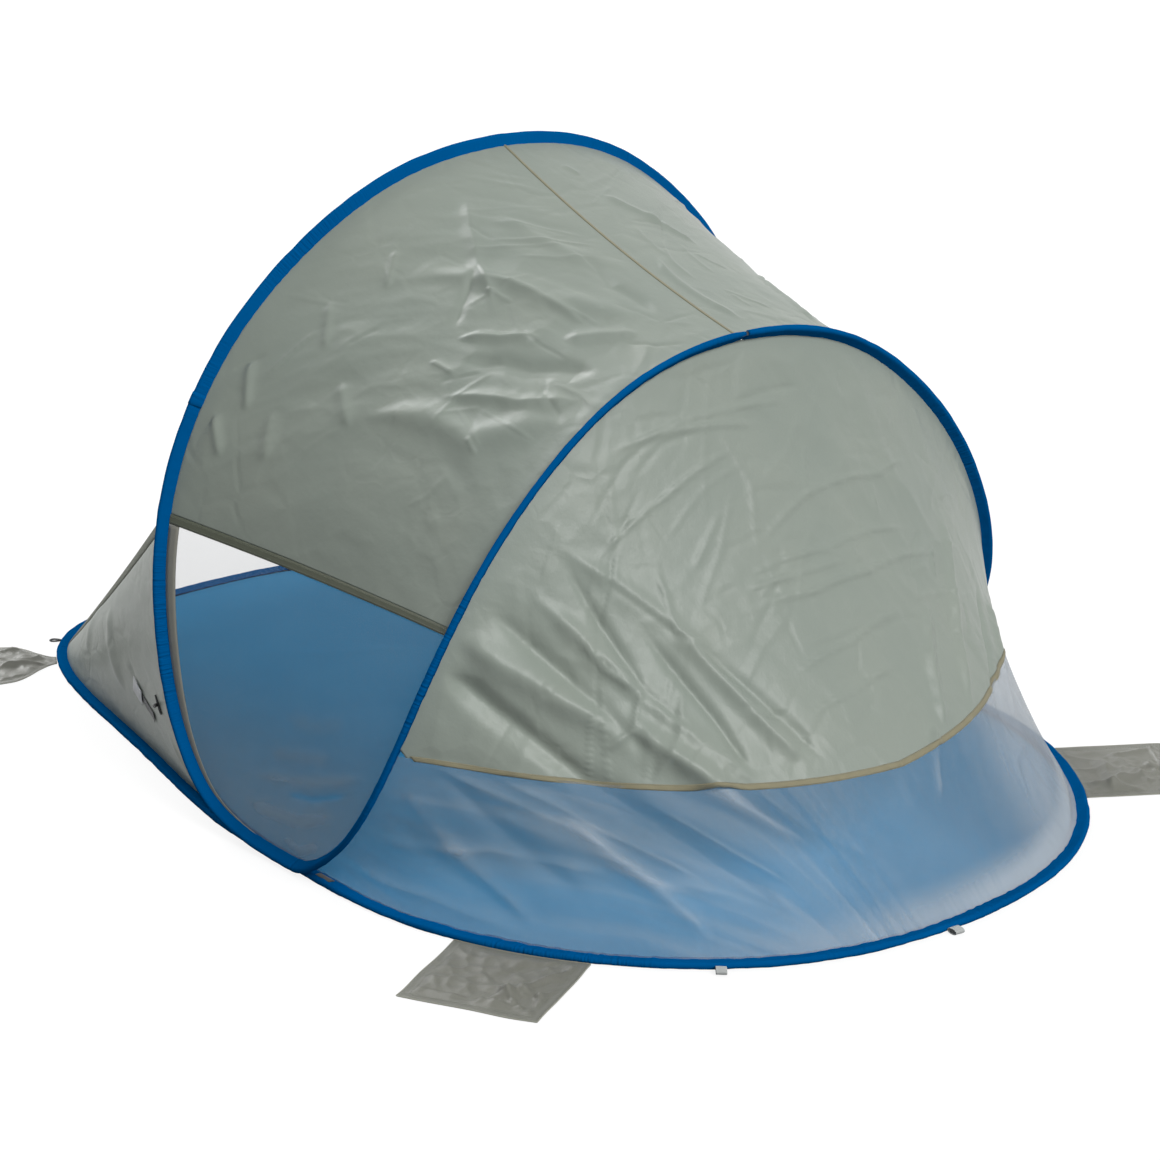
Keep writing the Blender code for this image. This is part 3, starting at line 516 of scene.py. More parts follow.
def netting(name, look):
    # Knitted mosquito net of fine polyester yarn. Its holes are 1 mm on the real one and are drawn a
    # little larger; light passes through them, and the yarn gives the pale veil.
    made, tree, shader = startMaterial(name)
    place = addNode(tree, "ShaderNodeTexCoord").outputs["UV"]
    turned = addNode(tree, "ShaderNodeMapping", {"Rotation": (0, 0, math.radians(30))}, {"Vector": place})
    first, second = [addNode(tree, "ShaderNodeTexWave", {
        "bands_direction": way, "Scale": waveScale / look["pitch"], "Distortion": 0.4},
        {"Vector": turned}) for way in "XY"]
    yarn = addNode(tree, "ShaderNodeMath", {"operation": "MAXIMUM"},
                   {0: first.outputs["Fac"], 1: second.outputs["Fac"]})
    cloud = addNode(tree, "ShaderNodeTexNoise", {"Scale": 1 / patterns["netCloud"], "Detail": 4.0},
                    {"Vector": place})
    tone = addNode(tree, "ShaderNodeMix",
                   {"data_type": "RGBA", 6: linear(look["dark"]), 7: linear(look["light"])},
                   {0: cloud.outputs["Fac"]})
    cover = addNode(tree, "ShaderNodeMapRange", {"To Min": look["open"], "To Max": look["closed"]},
                    {"Value": yarn})
    edge = addNode(tree, "ShaderNodeAttribute", {"attribute_name": "edge"})
    denser = addNode(tree, "ShaderNodeMath",
                     {"operation": "MULTIPLY_ADD", 1: look["edgeCover"], "use_clamp": True},
                     {0: edge.outputs["Fac"], 2: cover})
    # where the edge attribute is high the net is drawn paler: painted sheen
    paintedSheen = addNode(tree, "ShaderNodeMix", {"data_type": "RGBA", 7: linear(look["edge"])},
                    {0: edge.outputs["Fac"], 6: tone.outputs[2]})
    relief = addNode(tree, "ShaderNodeBump", {"Strength": 0.25, "Distance": 0.5 * mm}, {"Height": yarn})
    tree.links.new(paintedSheen.outputs[2], shader.inputs["Base Color"])
    tree.links.new(denser.outputs["Value"], shader.inputs["Alpha"])
    tree.links.new(relief.outputs["Normal"], shader.inputs["Normal"])
    shader.inputs["Roughness"].default_value = look["rough"]
    shader.inputs["Sheen Weight"].default_value = look["sheen"]
    shader.inputs["Sheen Roughness"].default_value = 0.35
    return made


def ribbedTape(name, look):
    # Grosgrain tape, braided cord and thread: thick cross ribs, matt, a little uneven in tone. The ribs are
    # drawn a little coarser than real ones, so that they show.
    made, tree, shader = startMaterial(name)
    place = addNode(tree, "ShaderNodeTexCoord").outputs["UV"]
    ribs = addNode(tree, "ShaderNodeTexWave", {
        "bands_direction": look["ribs"], "Scale": waveScale / look["pitch"], "Distortion": 0.3},
        {"Vector": place})
    cloud = addNode(tree, "ShaderNodeTexNoise", {"Scale": 1 / patterns["tapeCloud"], "Detail": 4.0},
                    {"Vector": place})
    tone = addNode(tree, "ShaderNodeMix",
                   {"data_type": "RGBA", 6: linear(look["dark"]), 7: linear(look["light"])},
                   {0: cloud.outputs["Fac"]})
    relief = addNode(tree, "ShaderNodeBump", {"Strength": 0.5, "Distance": 0.4 * mm},
                     {"Height": ribs.outputs["Fac"]})
    tree.links.new(tone.outputs[2], shader.inputs["Base Color"])
    tree.links.new(relief.outputs["Normal"], shader.inputs["Normal"])
    shader.inputs["Roughness"].default_value = look["rough"]
    shader.inputs["Sheen Weight"].default_value = 0.2
    return made


def hardFinish(name, look):
    # A plain moulded or drawn surface, uneven in tone and gloss at the size of its grain
    made, tree, shader = startMaterial(name)
    place = addNode(tree, "ShaderNodeTexCoord").outputs["Object"]
    stretched = addNode(tree, "ShaderNodeMapping", {"Scale": look["stretch"]}, {"Vector": place})
    grain = addNode(tree, "ShaderNodeTexNoise", {"Scale": 1 / look["grain"], "Detail": 6.0},
                    {"Vector": stretched})
    tone = addNode(tree, "ShaderNodeMix",
                   {"data_type": "RGBA", 6: linear(look["dark"]), 7: linear(look["light"])},
                   {0: grain.outputs["Fac"]})
    rough = addNode(tree, "ShaderNodeMapRange",
                    {"To Min": look["rough"] - 0.08, "To Max": look["rough"] + 0.08},
                    {"Value": grain.outputs["Fac"]})
    tree.links.new(tone.outputs[2], shader.inputs["Base Color"])
    tree.links.new(rough.outputs["Result"], shader.inputs["Roughness"])
    shader.inputs["Metallic"].default_value = look["metallic"]
    return made


finishes = {
    # the sleeve's dark navy band is painted shade in the seam with the panel
    "sleeve": sleeveCloth("bluePolyesterTaffeta", {
        "dark": "#00508C", "light": "#005E9F", "fold": "#1C2650", "tape": "#9B8F7C", "pitch": 1.0 * mm,
        "threadShade": 0.10, "crumple": 0.18, "grain": 0.25, "crease": 0.0, "rough": 0.6, "sheen": 0.0,
        "specular": 0.0}),
    # one grey coated cloth in two copies: the darker copy on the canopy and wings is painted shade, the paler
    # one on the rear panel painted light
    "canopy": wovenCloth("shadedCoatedPolyester", {
        "dark": "#828C84", "light": "#92998F", "pitch": 1.1 * mm, "threadShade": 0.05, "crumple": 0.26,
        "grain": 0.18, "crease": 0.28, "rough": 0.40, "sheen": 0.05, "specular": 0.3}),
    "rearPanel": wovenCloth("litCoatedPolyester", {
        "dark": "#88928A", "light": "#989F95", "pitch": 1.1 * mm, "threadShade": 0.05, "crumple": 0.30,
        "grain": 0.18, "crease": 0.36, "rough": 0.38, "sheen": 0.05, "specular": 0.3}),
    "floor": wovenCloth("blueCoatedFloorSheet", {
        "dark": "#3C8CBE", "light": "#4A97C6", "pitch": 1.6 * mm, "threadShade": 0.07, "crumple": 0.25,
        "grain": 0.3, "crease": 0.0, "rough": 0.7, "sheen": 0.0, "specular": 0.0}),
    "piping": wovenCloth("paleGreyPiping", {
        "dark": "#8F9084", "light": "#A2A396", "pitch": 1.0 * mm, "threadShade": 0.10, "crumple": 0.2,
        "grain": 0.3, "crease": 0.0, "rough": 0.6, "sheen": 0.05, "specular": 0.2}),
    "pocket": wovenCloth("greyPolyester", {
        "dark": "#6C6C64", "light": "#7B7C73", "pitch": 1.0 * mm, "threadShade": 0.07, "crumple": 0.4,
        "grain": 0.25, "crease": 0.5, "rough": 0.42, "sheen": 0.05, "specular": 0.4}),
    # each net's edge colour is painted sheen, mixed in by the edge attribute
    "mesh": netting("mosquitoNet", {
        "dark": "#7E8A92", "light": "#9CA7AE", "edge": "#C4CACE", "edgeCover": 0.24, "pitch": 1.5 * mm,
        "open": 0.06, "closed": 0.27, "rough": 0.4, "sheen": 0.3}),
    # the side nets are the rear net drawn darker: painted shade under the canopy
    "sideMesh": netting("shadedMosquitoNet", {
        "dark": "#66727A", "light": "#7E8A92", "edge": "#98A1A6", "edgeCover": 0.34, "pitch": 1.5 * mm,
        "open": 0.05, "closed": 0.20, "rough": 0.5, "sheen": 0.1}),
    "rod": hardFinish("glassFibreRod", {
        "dark": "#9C9C94", "light": "#B4B4AC", "stretch": (1, 1, 1), "grain": 11.11 * mm, "rough": 0.45,
        "metallic": 0.0}),
    "ferrule": hardFinish("drawnSteelTube", {
        "dark": "#3C3E42", "light": "#54575B", "stretch": (1, 0.1, 1), "grain": 2.5 * mm, "rough": 0.3,
        "metallic": 1.0}),
    "toggle": hardFinish("blackMouldedNylon", {
        "dark": "#141516", "light": "#1E2022", "stretch": (1, 1, 1), "grain": 3.333 * mm, "rough": 0.45,
        "metallic": 0.0}),
}
# each tape, cord and thread: its material, dark and light colour, the way of its ribs, their pitch in mm
# and its roughness
tapes = {
    "edgeTape": ("greyEdgeTape", "#7A7970", "#8B8A80", "Y", 1.2, 0.7),
    "binding": ("darkBindingTape", "#474C3C", "#565B49", "Y", 1.2, 0.75),
    "tape": ("oliveSeamTape", "#7C765E", "#948E72", "Y", 1.2, 0.7),
    "ribbon": ("greyRibbon", "#A3A7A6", "#C0C3C2", "Y", 1.0, 0.6),
    "webbing": ("blackWebbing", "#1E2124", "#2E3134", "X", 1.6, 0.8),
    "elastic": ("blackElasticCord", "#16181A", "#2A2D30", "Y", 1.0, 0.7),
    "label": ("wovenLabel", "#25272A", "#33363A", "X", 0.8, 0.55),
    # the pale satin patch by the label is a painted highlight on the wing cloth
    "labelHighlight": ("satinHighlightPatch", "#C9CDD2", "#DDE0E2", "X", 0.8, 0.45),
    "thread": ("polyesterThread", "#5E6457", "#7A8072", "X", 0.6, 0.6),
    "blueThread": ("blueThread", "#0A4C8C", "#1464A8", "X", 0.6, 0.6),
}
for key, (name, dark, light, ribs, pitch, rough) in tapes.items():
    finishes[key] = ribbedTape(name, {"dark": dark, "light": light, "ribs": ribs, "pitch": pitch * mm,
                                      "rough": rough})
print("materials made:", len(finishes))


# Stitches, and cords of even thickness, with Geometry Nodes along a line of edges
def lineTree(name, sizes, shape):
    # sizes are the tree's named inputs; shape adds the nodes between the even points and the finish
    tree = bpy.data.node_groups.new(name, "GeometryNodeTree")
    tree.interface.new_socket("Line", in_out="INPUT", socket_type="NodeSocketGeometry")
    for label, value in sizes.items():
        tree.interface.new_socket(label, in_out="INPUT", socket_type="NodeSocketFloat").default_value = value
    tree.interface.new_socket("Finish", in_out="INPUT", socket_type="NodeSocketMaterial")
    tree.interface.new_socket("Result", in_out="OUTPUT", socket_type="NodeSocketGeometry")
    given = addNode(tree, "NodeGroupInput").outputs
    curve = addNode(tree, "GeometryNodeMeshToCurve", None, {"Mesh": given["Line"]})
    even = addNode(tree, "GeometryNodeResampleCurve", {"mode": "LENGTH"},
                   {"Curve": curve, "Length": given["Step"]})
    dyed = addNode(tree, "GeometryNodeSetMaterial", None,
                   {"Geometry": shape(tree, given, even), "Material": given["Finish"]})
    addNode(tree, "NodeGroupOutput", None, {"Result": dyed})
    return tree


def stitchShape(tree, given, even):
    # one long bead for each stitch, turned along the line
    turn = addNode(tree, "FunctionNodeAlignRotationToVector", {"axis": "Z"},
                   {"Vector": addNode(tree, "GeometryNodeInputTangent")})
    bead = addNode(tree, "GeometryNodeMeshUVSphere", {"Segments": 6, "Rings": 4, "Radius": 0.5})
    size = addNode(tree, "ShaderNodeCombineXYZ", None,
                   {"X": given["Thickness"], "Y": given["Thickness"], "Z": given["Length"]})
    placed = addNode(tree, "GeometryNodeInstanceOnPoints", None,
                     {"Points": even, "Instance": bead, "Rotation": turn, "Scale": size})
    return addNode(tree, "GeometryNodeRealizeInstances", None, {"Geometry": placed})


def cordShape(tree, given, even):
    half = addNode(tree, "ShaderNodeMath", {"operation": "MULTIPLY", 1: 0.5}, {0: given["Thickness"]})
    ring = addNode(tree, "GeometryNodeCurvePrimitiveCircle", {"Resolution": 12}, {"Radius": half})
    return addNode(tree, "GeometryNodeCurveToMesh", {"Fill Caps": True},
                   {"Curve": even, "Profile Curve": ring})


trees = {
    "stitch": lineTree("stitchRow", {"Step": 4 * mm, "Length": 2.8 * mm, "Thickness": 0.7 * mm}, stitchShape),
    "cord": lineTree("roundCord", {"Thickness": 3.2 * mm, "Step": 2.5 * mm}, cordShape),
}


def alongLines(name, kind, lines, finish, sizes=None, closed=False):
    # lines are lists of points; each becomes a row of stitches or a cord
    points = []
    edges = []
    for line in lines:
        start = len(points)
        points += [tuple(point) for point in line]
        edges += [(start + k, start + k + 1) for k in range(len(line) - 1)]
        if closed:
            edges.append((len(points) - 1, start))
    mesh = bpy.data.meshes.new(name)
    mesh.from_pydata(points, edges, [])
    piece = bpy.data.objects.new(name, mesh)
    bpy.context.scene.collection.objects.link(piece)
    nodes = piece.modifiers.new("row", "NODES")
    nodes.node_group = trees[kind]
    sockets = {item.name: item.identifier for item in trees[kind].interface.items_tree
               if item.in_out == "INPUT"}
    for label, value in (sizes or {}).items():
        nodes[sockets[label]] = value
    nodes[sockets["Finish"]] = finishes[finish]
    return facesOut(bake(piece))


# Sleeves
sleeve = {"halfBand": 12 * mm, "rodCentre": -7.2 * mm, "pocketRadius": 4.8 * mm, "rowStep": 4 * mm,
          "pucker": 0.45 * mm, "spare": 10 * mm, "footRoom": 0.22, "footLengths": (0.26, 0.40),
          "seamOver": 9 * mm, "seamLift": 2.2 * mm, "seamStep": 8 * mm, "seamEnd": 0.4, "opening": 2.6 * mm}


def sleeveProfile(inner):
    # in mm: upper half from the hem's inner edge to the outer side of the rod, then the lower half back
    top = [(inner, 0.0), (inner - 0.2, 0.5), (inner - 1.0, 0.8), (15.2, 0.95), (14.4, 1.35), (12.5, 1.5),
           (9.5, 1.95), (6.0, 2.5), (2.5, 3.1), (-1.0, 3.8), (-3.6, 4.3)]
    top = [(over * mm, lift * mm) for over, lift in top]
    for degrees in range(74, 181, 21):
        turn = math.radians(degrees)
        top.append((sleeve["rodCentre"] + sleeve["pocketRadius"] * math.cos(turn),
                    sleeve["pocketRadius"] * math.sin(turn)))
    top.append((sleeve["rodCentre"] - sleeve["pocketRadius"], 0.0))
    return np.array(top + [(over, -lift) for over, lift in top[-2:0:-1]])


def sleevePoints(band, stations, seed, inner, looseness=1.0, grown=0.0):
    profile = sleeveProfile(inner)
    profile = profile + unit(profile - profile.mean(axis=0)) * grown
    centre, across, face = bandRows(band, stations)
    along = np.interp(stations, band["stations"], band["along"])[:, None]
    flatOver = profile[None, :, 0]
    lift = profile[None, :, 1]
    # near the feet the hem is narrower
    toFoot = np.minimum(along, band["along"][-1] - along)
    room = sleeve["footRoom"] + (1 - sleeve["footRoom"]) * smoothStep(*sleeve["footLengths"], toFoot)
    spare = sleeve["spare"]
    over = np.where(flatOver > spare, spare + (flatOver - spare) * room, flatOver)
    hemShare = smoothStep(-4 * mm, spare, over)
    side = np.sign(lift)
    gather = valueNoise(along / (9 * mm), over / (14 * mm) + side * 3, seed)
    slow = layeredNoise(along / (70 * mm), over / (30 * mm) + 5, seed + 5, 2)
    creases = ridgedNoise(along / (16 * mm) + over / (40 * mm), side * 4 + over / (30 * mm), seed + 9)
    puff = sleeve["pucker"] * looseness * ((0.35 + hemShare) * gather + 0.9 * slow + 0.35 * creases)
    lift = lift + side * np.minimum(1, np.abs(lift) / (1.0 * mm)) * puff
    wobble = layeredNoise(along / (34 * mm), np.full_like(along, 2.5), seed + 13, 2)
    over = over + 0.5 * mm * looseness * wobble * (1 - hemShare) + 0.35 * mm * gather * hemShare
    rows = centre[:, None] + unit(across)[:, None] * over[..., None] + unit(face)[:, None] * lift[..., None]
    drawn = np.where(flatOver > spare, spare + (flatOver - spare) * (0.45 + 0.55 * room), flatOver)
    uvs = np.stack([np.broadcast_to(along, over.shape), drawn + sleeve["halfBand"]], axis=-1)
    return rows, uvs.reshape(-1, 2)


def stationsEvery(band, low, high, step):
    length = np.interp([low, high], band["stations"], band["along"])
    count = max(int((length[1] - length[0]) / step), 4)
    return np.interp(np.linspace(length[0], length[1], count + 1), band["along"], band["stations"])


def closeEnds(faces, count, rows):
    # a small fan would give a pole, so each end is turned inwards by a strip to its own mirror row
    pairs = [(k, k + 1, count - k - 1, count - k) for k in range(1, count // 2)]
    ends = []
    for start, flip in ((0, False), ((rows - 1) * count, True)):
        for a, b, c, d in pairs:
            quad = [start + a, start + b, start + c % count, start + d % count]
            ends.append(quad[::-1] if flip else quad)
    return np.concatenate([faces, np.array(ends, np.int32)])


def sleeveStretch(name, band, low, high, seed, inner, looseness=1.0, tight=None, grown=0.0):
    stations = stationsEvery(band, low, high, sleeve["rowStep"])
    rows, uvs = sleevePoints(band, stations, seed, inner, looseness, grown)
    if tight:
        # the sleeve narrows onto the rod at a hemmed end
        end, reach, size = tight
        centre = onBand(band, stations, sleeve["rodCentre"], 0)[:, None]
        along = np.interp(stations, band["stations"], band["along"])
        far = np.abs(along - np.interp(end, band["stations"], band["along"]))
        share = (size + (1 - size) * smoothStep(0, reach, far))[:, None, None]
        rows = centre + (rows - centre) * share
    count = rows.shape[1]
    faces = gridFaces(rows.shape[0], count, roundColumns=True)
    piece = newPiece(name, rows, closeEnds(faces, count, rows.shape[0]), finishes["sleeve"], uvs)
    return facesOut(piece)


def sleeveSeams(band, low, high):
    # the row of stitching along the hem, on both faces
    stations = stationsEvery(band, low + sleeve["seamEnd"], high - sleeve["seamEnd"], sleeve["seamStep"])
    return [onBand(band, stations, sleeve["seamOver"], side * sleeve["seamLift"]) for side in (1, -1)]


topPoints = onBand(archRear, [archSteps - 1, archSteps], 0, 0)
opening = sleeve["opening"] / np.linalg.norm(topPoints[1] - topPoints[0])
topNear = archSteps - opening
topFar = archSteps + opening
# each sleeve: band, first and last station, seed, inner edge in mm, looseness, and the end that is
# drawn tight on the rod, with its length and share of the width
sleevePieces = {
    "ground_sleeve_front": (groundFront, 0, lastStation(groundFront), 11, 16, 1.6, None),
    "ground_sleeve_rear": (groundRear, 0, lastStation(groundRear), 12, 16, 1.6, None),
    "arch_sleeve_front": (archFront, 0, lastStation(archFront), 13, 18, 1.0, None),
    "arch_sleeve_rear_near": (archRear, 0, topNear, 14, 18, 1.0, (topNear, 24 * mm, 0.72)),
    "arch_sleeve_rear_far": (archRear, topFar, lastStation(archRear), 15, 18, 1.0, (topFar, 30 * mm, 0.90)),
}
for node, (band, low, high, seed, inner, looseness, tight) in sleevePieces.items():
    piece = sleeveStretch(node + "_cloth", band, low, high, seed, inner, looseness, tight)
    dress(piece, "sleeve", *halves, zone=footZone, nodes=[node])
    rows = alongLines(node + "_stitches", "stitch", sleeveSeams(band, low, high), "blueThread")
    dress(rows, "sleeve", *halves, zone=footZone)
# where two lengths of sleeve cloth meet, one is lapped over the other
lap = {"station": 11.75, "half": 0.09, "inner": 16.5, "grown": 0.9 * mm}
for side, place in (("near", lap["station"]), ("far", lastStation(archFront) - lap["station"])):
    piece = sleeveStretch("arch_sleeve_front_lap_" + side, archFront, place - lap["half"],
                          place + lap["half"], 13, lap["inner"], grown=lap["grown"])
    dress(piece, "sleeve", "front_half")
print("sleeves made")


# Panels between the hoops
edgeOver = 7 * mm  # panel edges lie inside the folded hem
edgeLift = 0.7 * mm


def sideSurface(stations, shares):
    # near side between the arches: one row for each station from the foot to the ridge
    legOutward = np.array([0, -1.0, 0.6]) / 1.166
    front = onBand(archFront, stations, edgeOver, edgeLift)[:, None]
    rear = onBand(archRear, stations, edgeOver, -edgeLift)[:, None]
    across = shares[None, :, None]
    upright = smoothStep(tent["legSteps"] - 2, tent["legSteps"] + 2, stations)[:, None, None]
    outward = unit((1 - upright) * legOutward + upright * unit((front + rear) / 2 - np.array(tentMiddle)))
    sag = tent["canopySag"] * np.minimum(stations / tent["legSteps"], 1)[:, None, None]
    grid = (1 - across) * front + across * rear - outward * 4 * sag * across * (1 - across)
    grid[stations >= archSteps - 1e-6, :, 1] = 0.0
    return grid


def wingSurface(stations, shares, top):
    corner = tent["wingCornerShare"] * tent["frontRingSteps"]
    low = onBand(groundFront, stations / top * corner, edgeOver, edgeLift)[:, None]
    high = onBand(archFront, stations, edgeOver, -edgeLift)[:, None]
    across = shares[None, :, None]
    inward = np.array([0, 1.0, 0]) * tent["wingSag"] * (stations / top)[:, None, None]
    return (1 - across) * low + across * high + inward * 4 * across * (1 - across)


def rearSurface(stations, shares):
    # shares may be one row for all stations, or one for each
    high = onBand(archRear, stations, edgeOver, edgeLift)[:, None]
    low = onBand(groundRear, stations, edgeOver, edgeLift)[:, None]
    across = np.broadcast_to(shares, (len(stations), shares.shape[-1]))[..., None]
    fall = np.linalg.norm(low - high, axis=-1, keepdims=True)
    inward = unit(np.array([tent["footX"], 0, 0]) - (high + low) / 2)
    middle = 4 * across * (1 - across)
    sag = tent["rearSag"] * np.sqrt(fall / tent["rearHeight"])
    return (1 - across) * high + across * low + inward * sag * middle


def onSide(grid, side):
    # grids are made for the near side, and the far one is their mirror image
    return grid * np.array([1, -1, 1]) if side == "far" else grid


def edgeMask(along, low, high):
    # 0 at both ends, rising over the given lengths
    return smoothStep(0, low, along) * smoothStep(0, high, along[..., -1:] - along)


def metres(grid, axis):
    steps = np.linalg.norm(np.diff(grid, axis=axis), axis=2)
    start = np.zeros_like(np.take(steps, [0], axis=axis))
    return np.concatenate([start, np.cumsum(steps, axis=axis)], axis=axis)


# Folds are drawn in metres: x from the front arch to the rear one, y up from the foot along the hoops
canopyFolds = {
    "near": [
        ([(0.088, 1.259), (0.156, 1.138), (0.223, 1.030), (0.328, 0.893)], 8, 4.0, 0.6),
        ([(0.223, 1.030), (0.292, 0.867)], 6, -3.5, 0.5),
        ([(0.272, 0.959), (0.324, 0.934)], 5, 2.5, 0.7),
        ([(0.250, 0.990), (0.350, 0.960), (0.430, 0.965)], 9, 4.0, 0.3),
        ([(0.307, 0.845), (0.362, 0.863), (0.412, 0.900)], 9, 5.0, 0.4),
        ([(0.340, 0.800), (0.440, 0.850), (0.525, 0.932)], 15, -5.5, 0.1),
        ([(0.361, 0.735), (0.475, 0.804), (0.545, 0.880)], 10, 4.5, 0.3),
        ([(0.434, 0.918), (0.500, 1.025)], 12, 4.0, 0.2),
        ([(0.168, 1.017), (0.345, 0.961), (0.475, 1.043)], 22, 4.5, 0.0),
        ([(0.268, 0.692), (0.451, 0.711), (0.548, 0.836)], 22, 5.0, 0.0),
        ([(0.043, 0.885), (0.081, 0.775)], 7, 3.5, 0.5),
        ([(0.027, 0.804), (0.069, 0.707)], 7, 3.5, 0.5),
        ([(0.092, 0.975), (0.146, 0.852)], 6, 2.6, 0.5),
        ([(0.107, 1.085), (0.153, 0.974)], 5, 2.6, 0.6),
        ([(0.196, 0.782), (0.260, 0.677)], 8, 2.6, 0.3),
        ([(0.301, 0.799), (0.353, 0.778)], 5, 2.4, 0.7),
        ([(0.448, 0.710), (0.478, 0.702)], 4, 1.8, 0.8),
        ([(0.151, 1.202), (0.233, 1.132), (0.351, 1.071)], 14, 3.5, 0.2),
        ([(0.270, 1.120), (0.380, 1.060), (0.480, 1.080)], 12, -3.5, 0.2),
        ([(0.120, 0.760), (0.150, 0.660)], 9, 2.2, 0.2),
    ],
    "far": [
        ([(0.151, 1.241), (0.237, 1.081)], 7, 3.5, 0.6),
        ([(0.332, 1.111), (0.538, 1.113)], 9, 4.5, 0.4),
        ([(0.300, 1.160), (0.420, 1.140), (0.530, 1.150)], 7, -3.0, 0.4),
        ([(0.065, 1.360), (0.095, 1.305)], 4, 2.0, 0.6),
        ([(0.193, 1.145), (0.286, 1.002)], 6, 3.0, 0.6),
        ([(0.151, 1.323), (0.347, 1.127)], 10, -3.0, 0.3),
        ([(0.300, 0.860), (0.420, 0.880), (0.530, 0.930)], 12, 4.0, 0.3),
        ([(0.260, 0.720), (0.400, 0.740), (0.540, 0.820)], 16, -4.0, 0.1),
        ([(0.080, 0.900), (0.130, 0.760)], 8, 3.0, 0.4),
    ],
}


# slack places low in the side meshes: x along the tent and height above the ground, in metres
sideMeshFolds = [
    ([(0.158, 0.166), (0.243, 0.182), (0.327, 0.201)], 11, 1.0, 0.0),
    ([(0.117, 0.118), (0.267, 0.149), (0.412, 0.197)], 9, 1.4, 0.2),
    ([(0.087, 0.068), (0.239, 0.080), (0.340, 0.122)], 13, 1.2, 0.1),
    ([(0.190, 0.040), (0.236, 0.032), (0.296, 0.062)], 8, 1.0, 0.2),
    ([(0.204, 0.113), (0.275, 0.126), (0.367, 0.160)], 5, -2.4, 0.2),
    ([(0.200, 0.230), (0.280, 0.236), (0.350, 0.260)], 12, 0.8, 0.0),
]


def ruffle(grid, outwardFrom, heights):
    return grid + gridNormals(grid, outwardFrom) * heights[..., None]


def sideHeights(x, y, seed, folds):
    # the canopy's drawn folds, small creases and crumples
    small = randomFolds(seed, 34, (0.03, 0.6), (0.55, 1.25), 35, 40, (0.04, 0.15), (3, 6), (0.5, 1.5), 0.8)
    heights = 1.5 * drawFolds(x, y, folds)
    heights += 1.5 * drawFolds(x, y, small)
    heights += 1.8 * mm * layeredNoise(x / 0.2 + y / 0.4, y / 0.07, seed + 3)
    heights += crumples(x, y, 0.085, 5.0 * mm, seed + 6, 0.3)
    heights += crumples(x, y, 0.036, 1.9 * mm, seed + 16, -0.2)
    return heights * edgeMask(x, 0.04, 0.04)


sideCloth = {"foot": 0.12, "hemWidth": 12 * mm, "stationLength": 89.3 * mm, "columns": 186,
             "hemLift": 0.4 * mm, "stitchLift": 0.9 * mm, "tapeHalf": 2.6 * mm, "tapeStitch": 1.4 * mm}
# each part from the foot up: rows, finish, slot and thickness
sideParts = {
    "side_mesh": (90, "sideMesh", "mesh", 0.5 * mm),
    "side_hem": (5, "binding", "binding", 1.6 * mm),
    "canopy": (250, "canopy", "canopy", 0.5 * mm),
}
meshBorder = {"width": 20 * mm, "footShare": 0.10, "from": 2 * mm, "lift": 0.6 * mm, "thick": 1.2 * mm}
made = {}


def sideGrid(stations, side, seed, canopyFoot):
    base = sideSurface(stations, np.linspace(0, 1, sideCloth["columns"]))
    x = metres(base, 1)
    y = metres(base, 0)
    canopyShare = smoothStep(canopyFoot - 1.0, canopyFoot + 1.5, stations)[:, None]
    slack = drawFolds(base[..., 0], base[..., 2], sideMeshFolds)
    smooth = (1.0 * mm * layeredNoise(x / 0.2, y / 0.16, seed + 9) + slack) * edgeMask(x, 0.03, 0.03)
    heights = sideHeights(x, y, seed, canopyFolds[side]) * canopyShare + smooth * (1 - canopyShare)
    grid = ruffle(base, tentMiddle, heights * smoothStep(0, 0.05, y[-1:] - y))
    grid[-1, :, 1] = 0.0
    return onSide(grid, side), slack


def buildMeshBorder(side, stations):
    # a narrow tape along the front edge of a side mesh, narrower towards the foot
    pair = sideSurface(stations, np.array([0, 1 / 59]))
    inward = unit(pair[:, 1:] - pair[:, :1])
    share = meshBorder["footShare"] + (1 - meshBorder["footShare"]) * smoothStep(0.5, 8.0, stations)
    width = share[:, None, None] * meshBorder["width"] * np.linspace(0, 1, 4)[None, :, None]
    strip = pair[:, :1] + inward * (meshBorder["from"] + width) - np.array([0, meshBorder["lift"], 0])
    border = clothPiece("side_mesh_border_" + side, onSide(strip, side), finishes["edgeTape"],
                        meshBorder["thick"])
    dress(border, "tape", *halves, zone=foldZone)


def buildRidgeTape(ridge):
    lift = unit(np.cross(np.gradient(ridge, axis=0), np.array([0, 1.0, 0])))
    lift *= np.sign(lift[:, 2:])
    across = np.linspace(-1, 1, 7)
    tape = np.stack([ridge + np.array([0, over * sideCloth["tapeHalf"], 0])
                     + lift * (1.2 - 0.8 * over ** 2) * mm for over in across])
    piece = clothPiece("ridge_seam_tape_cloth", tape, finishes["tape"], 0.5 * mm)
    dress(piece, "tape", *halves, zone=foldZone, nodes=["ridge_seam_tape"])
    rows = [ridge + np.array([0, side * sideCloth["tapeStitch"], 0]) + lift * 1.2 * mm for side in (-1, 1)]
    dress(alongLines("ridge_stitches", "stitch", rows, "thread"), "tape", *halves, zone=foldZone)


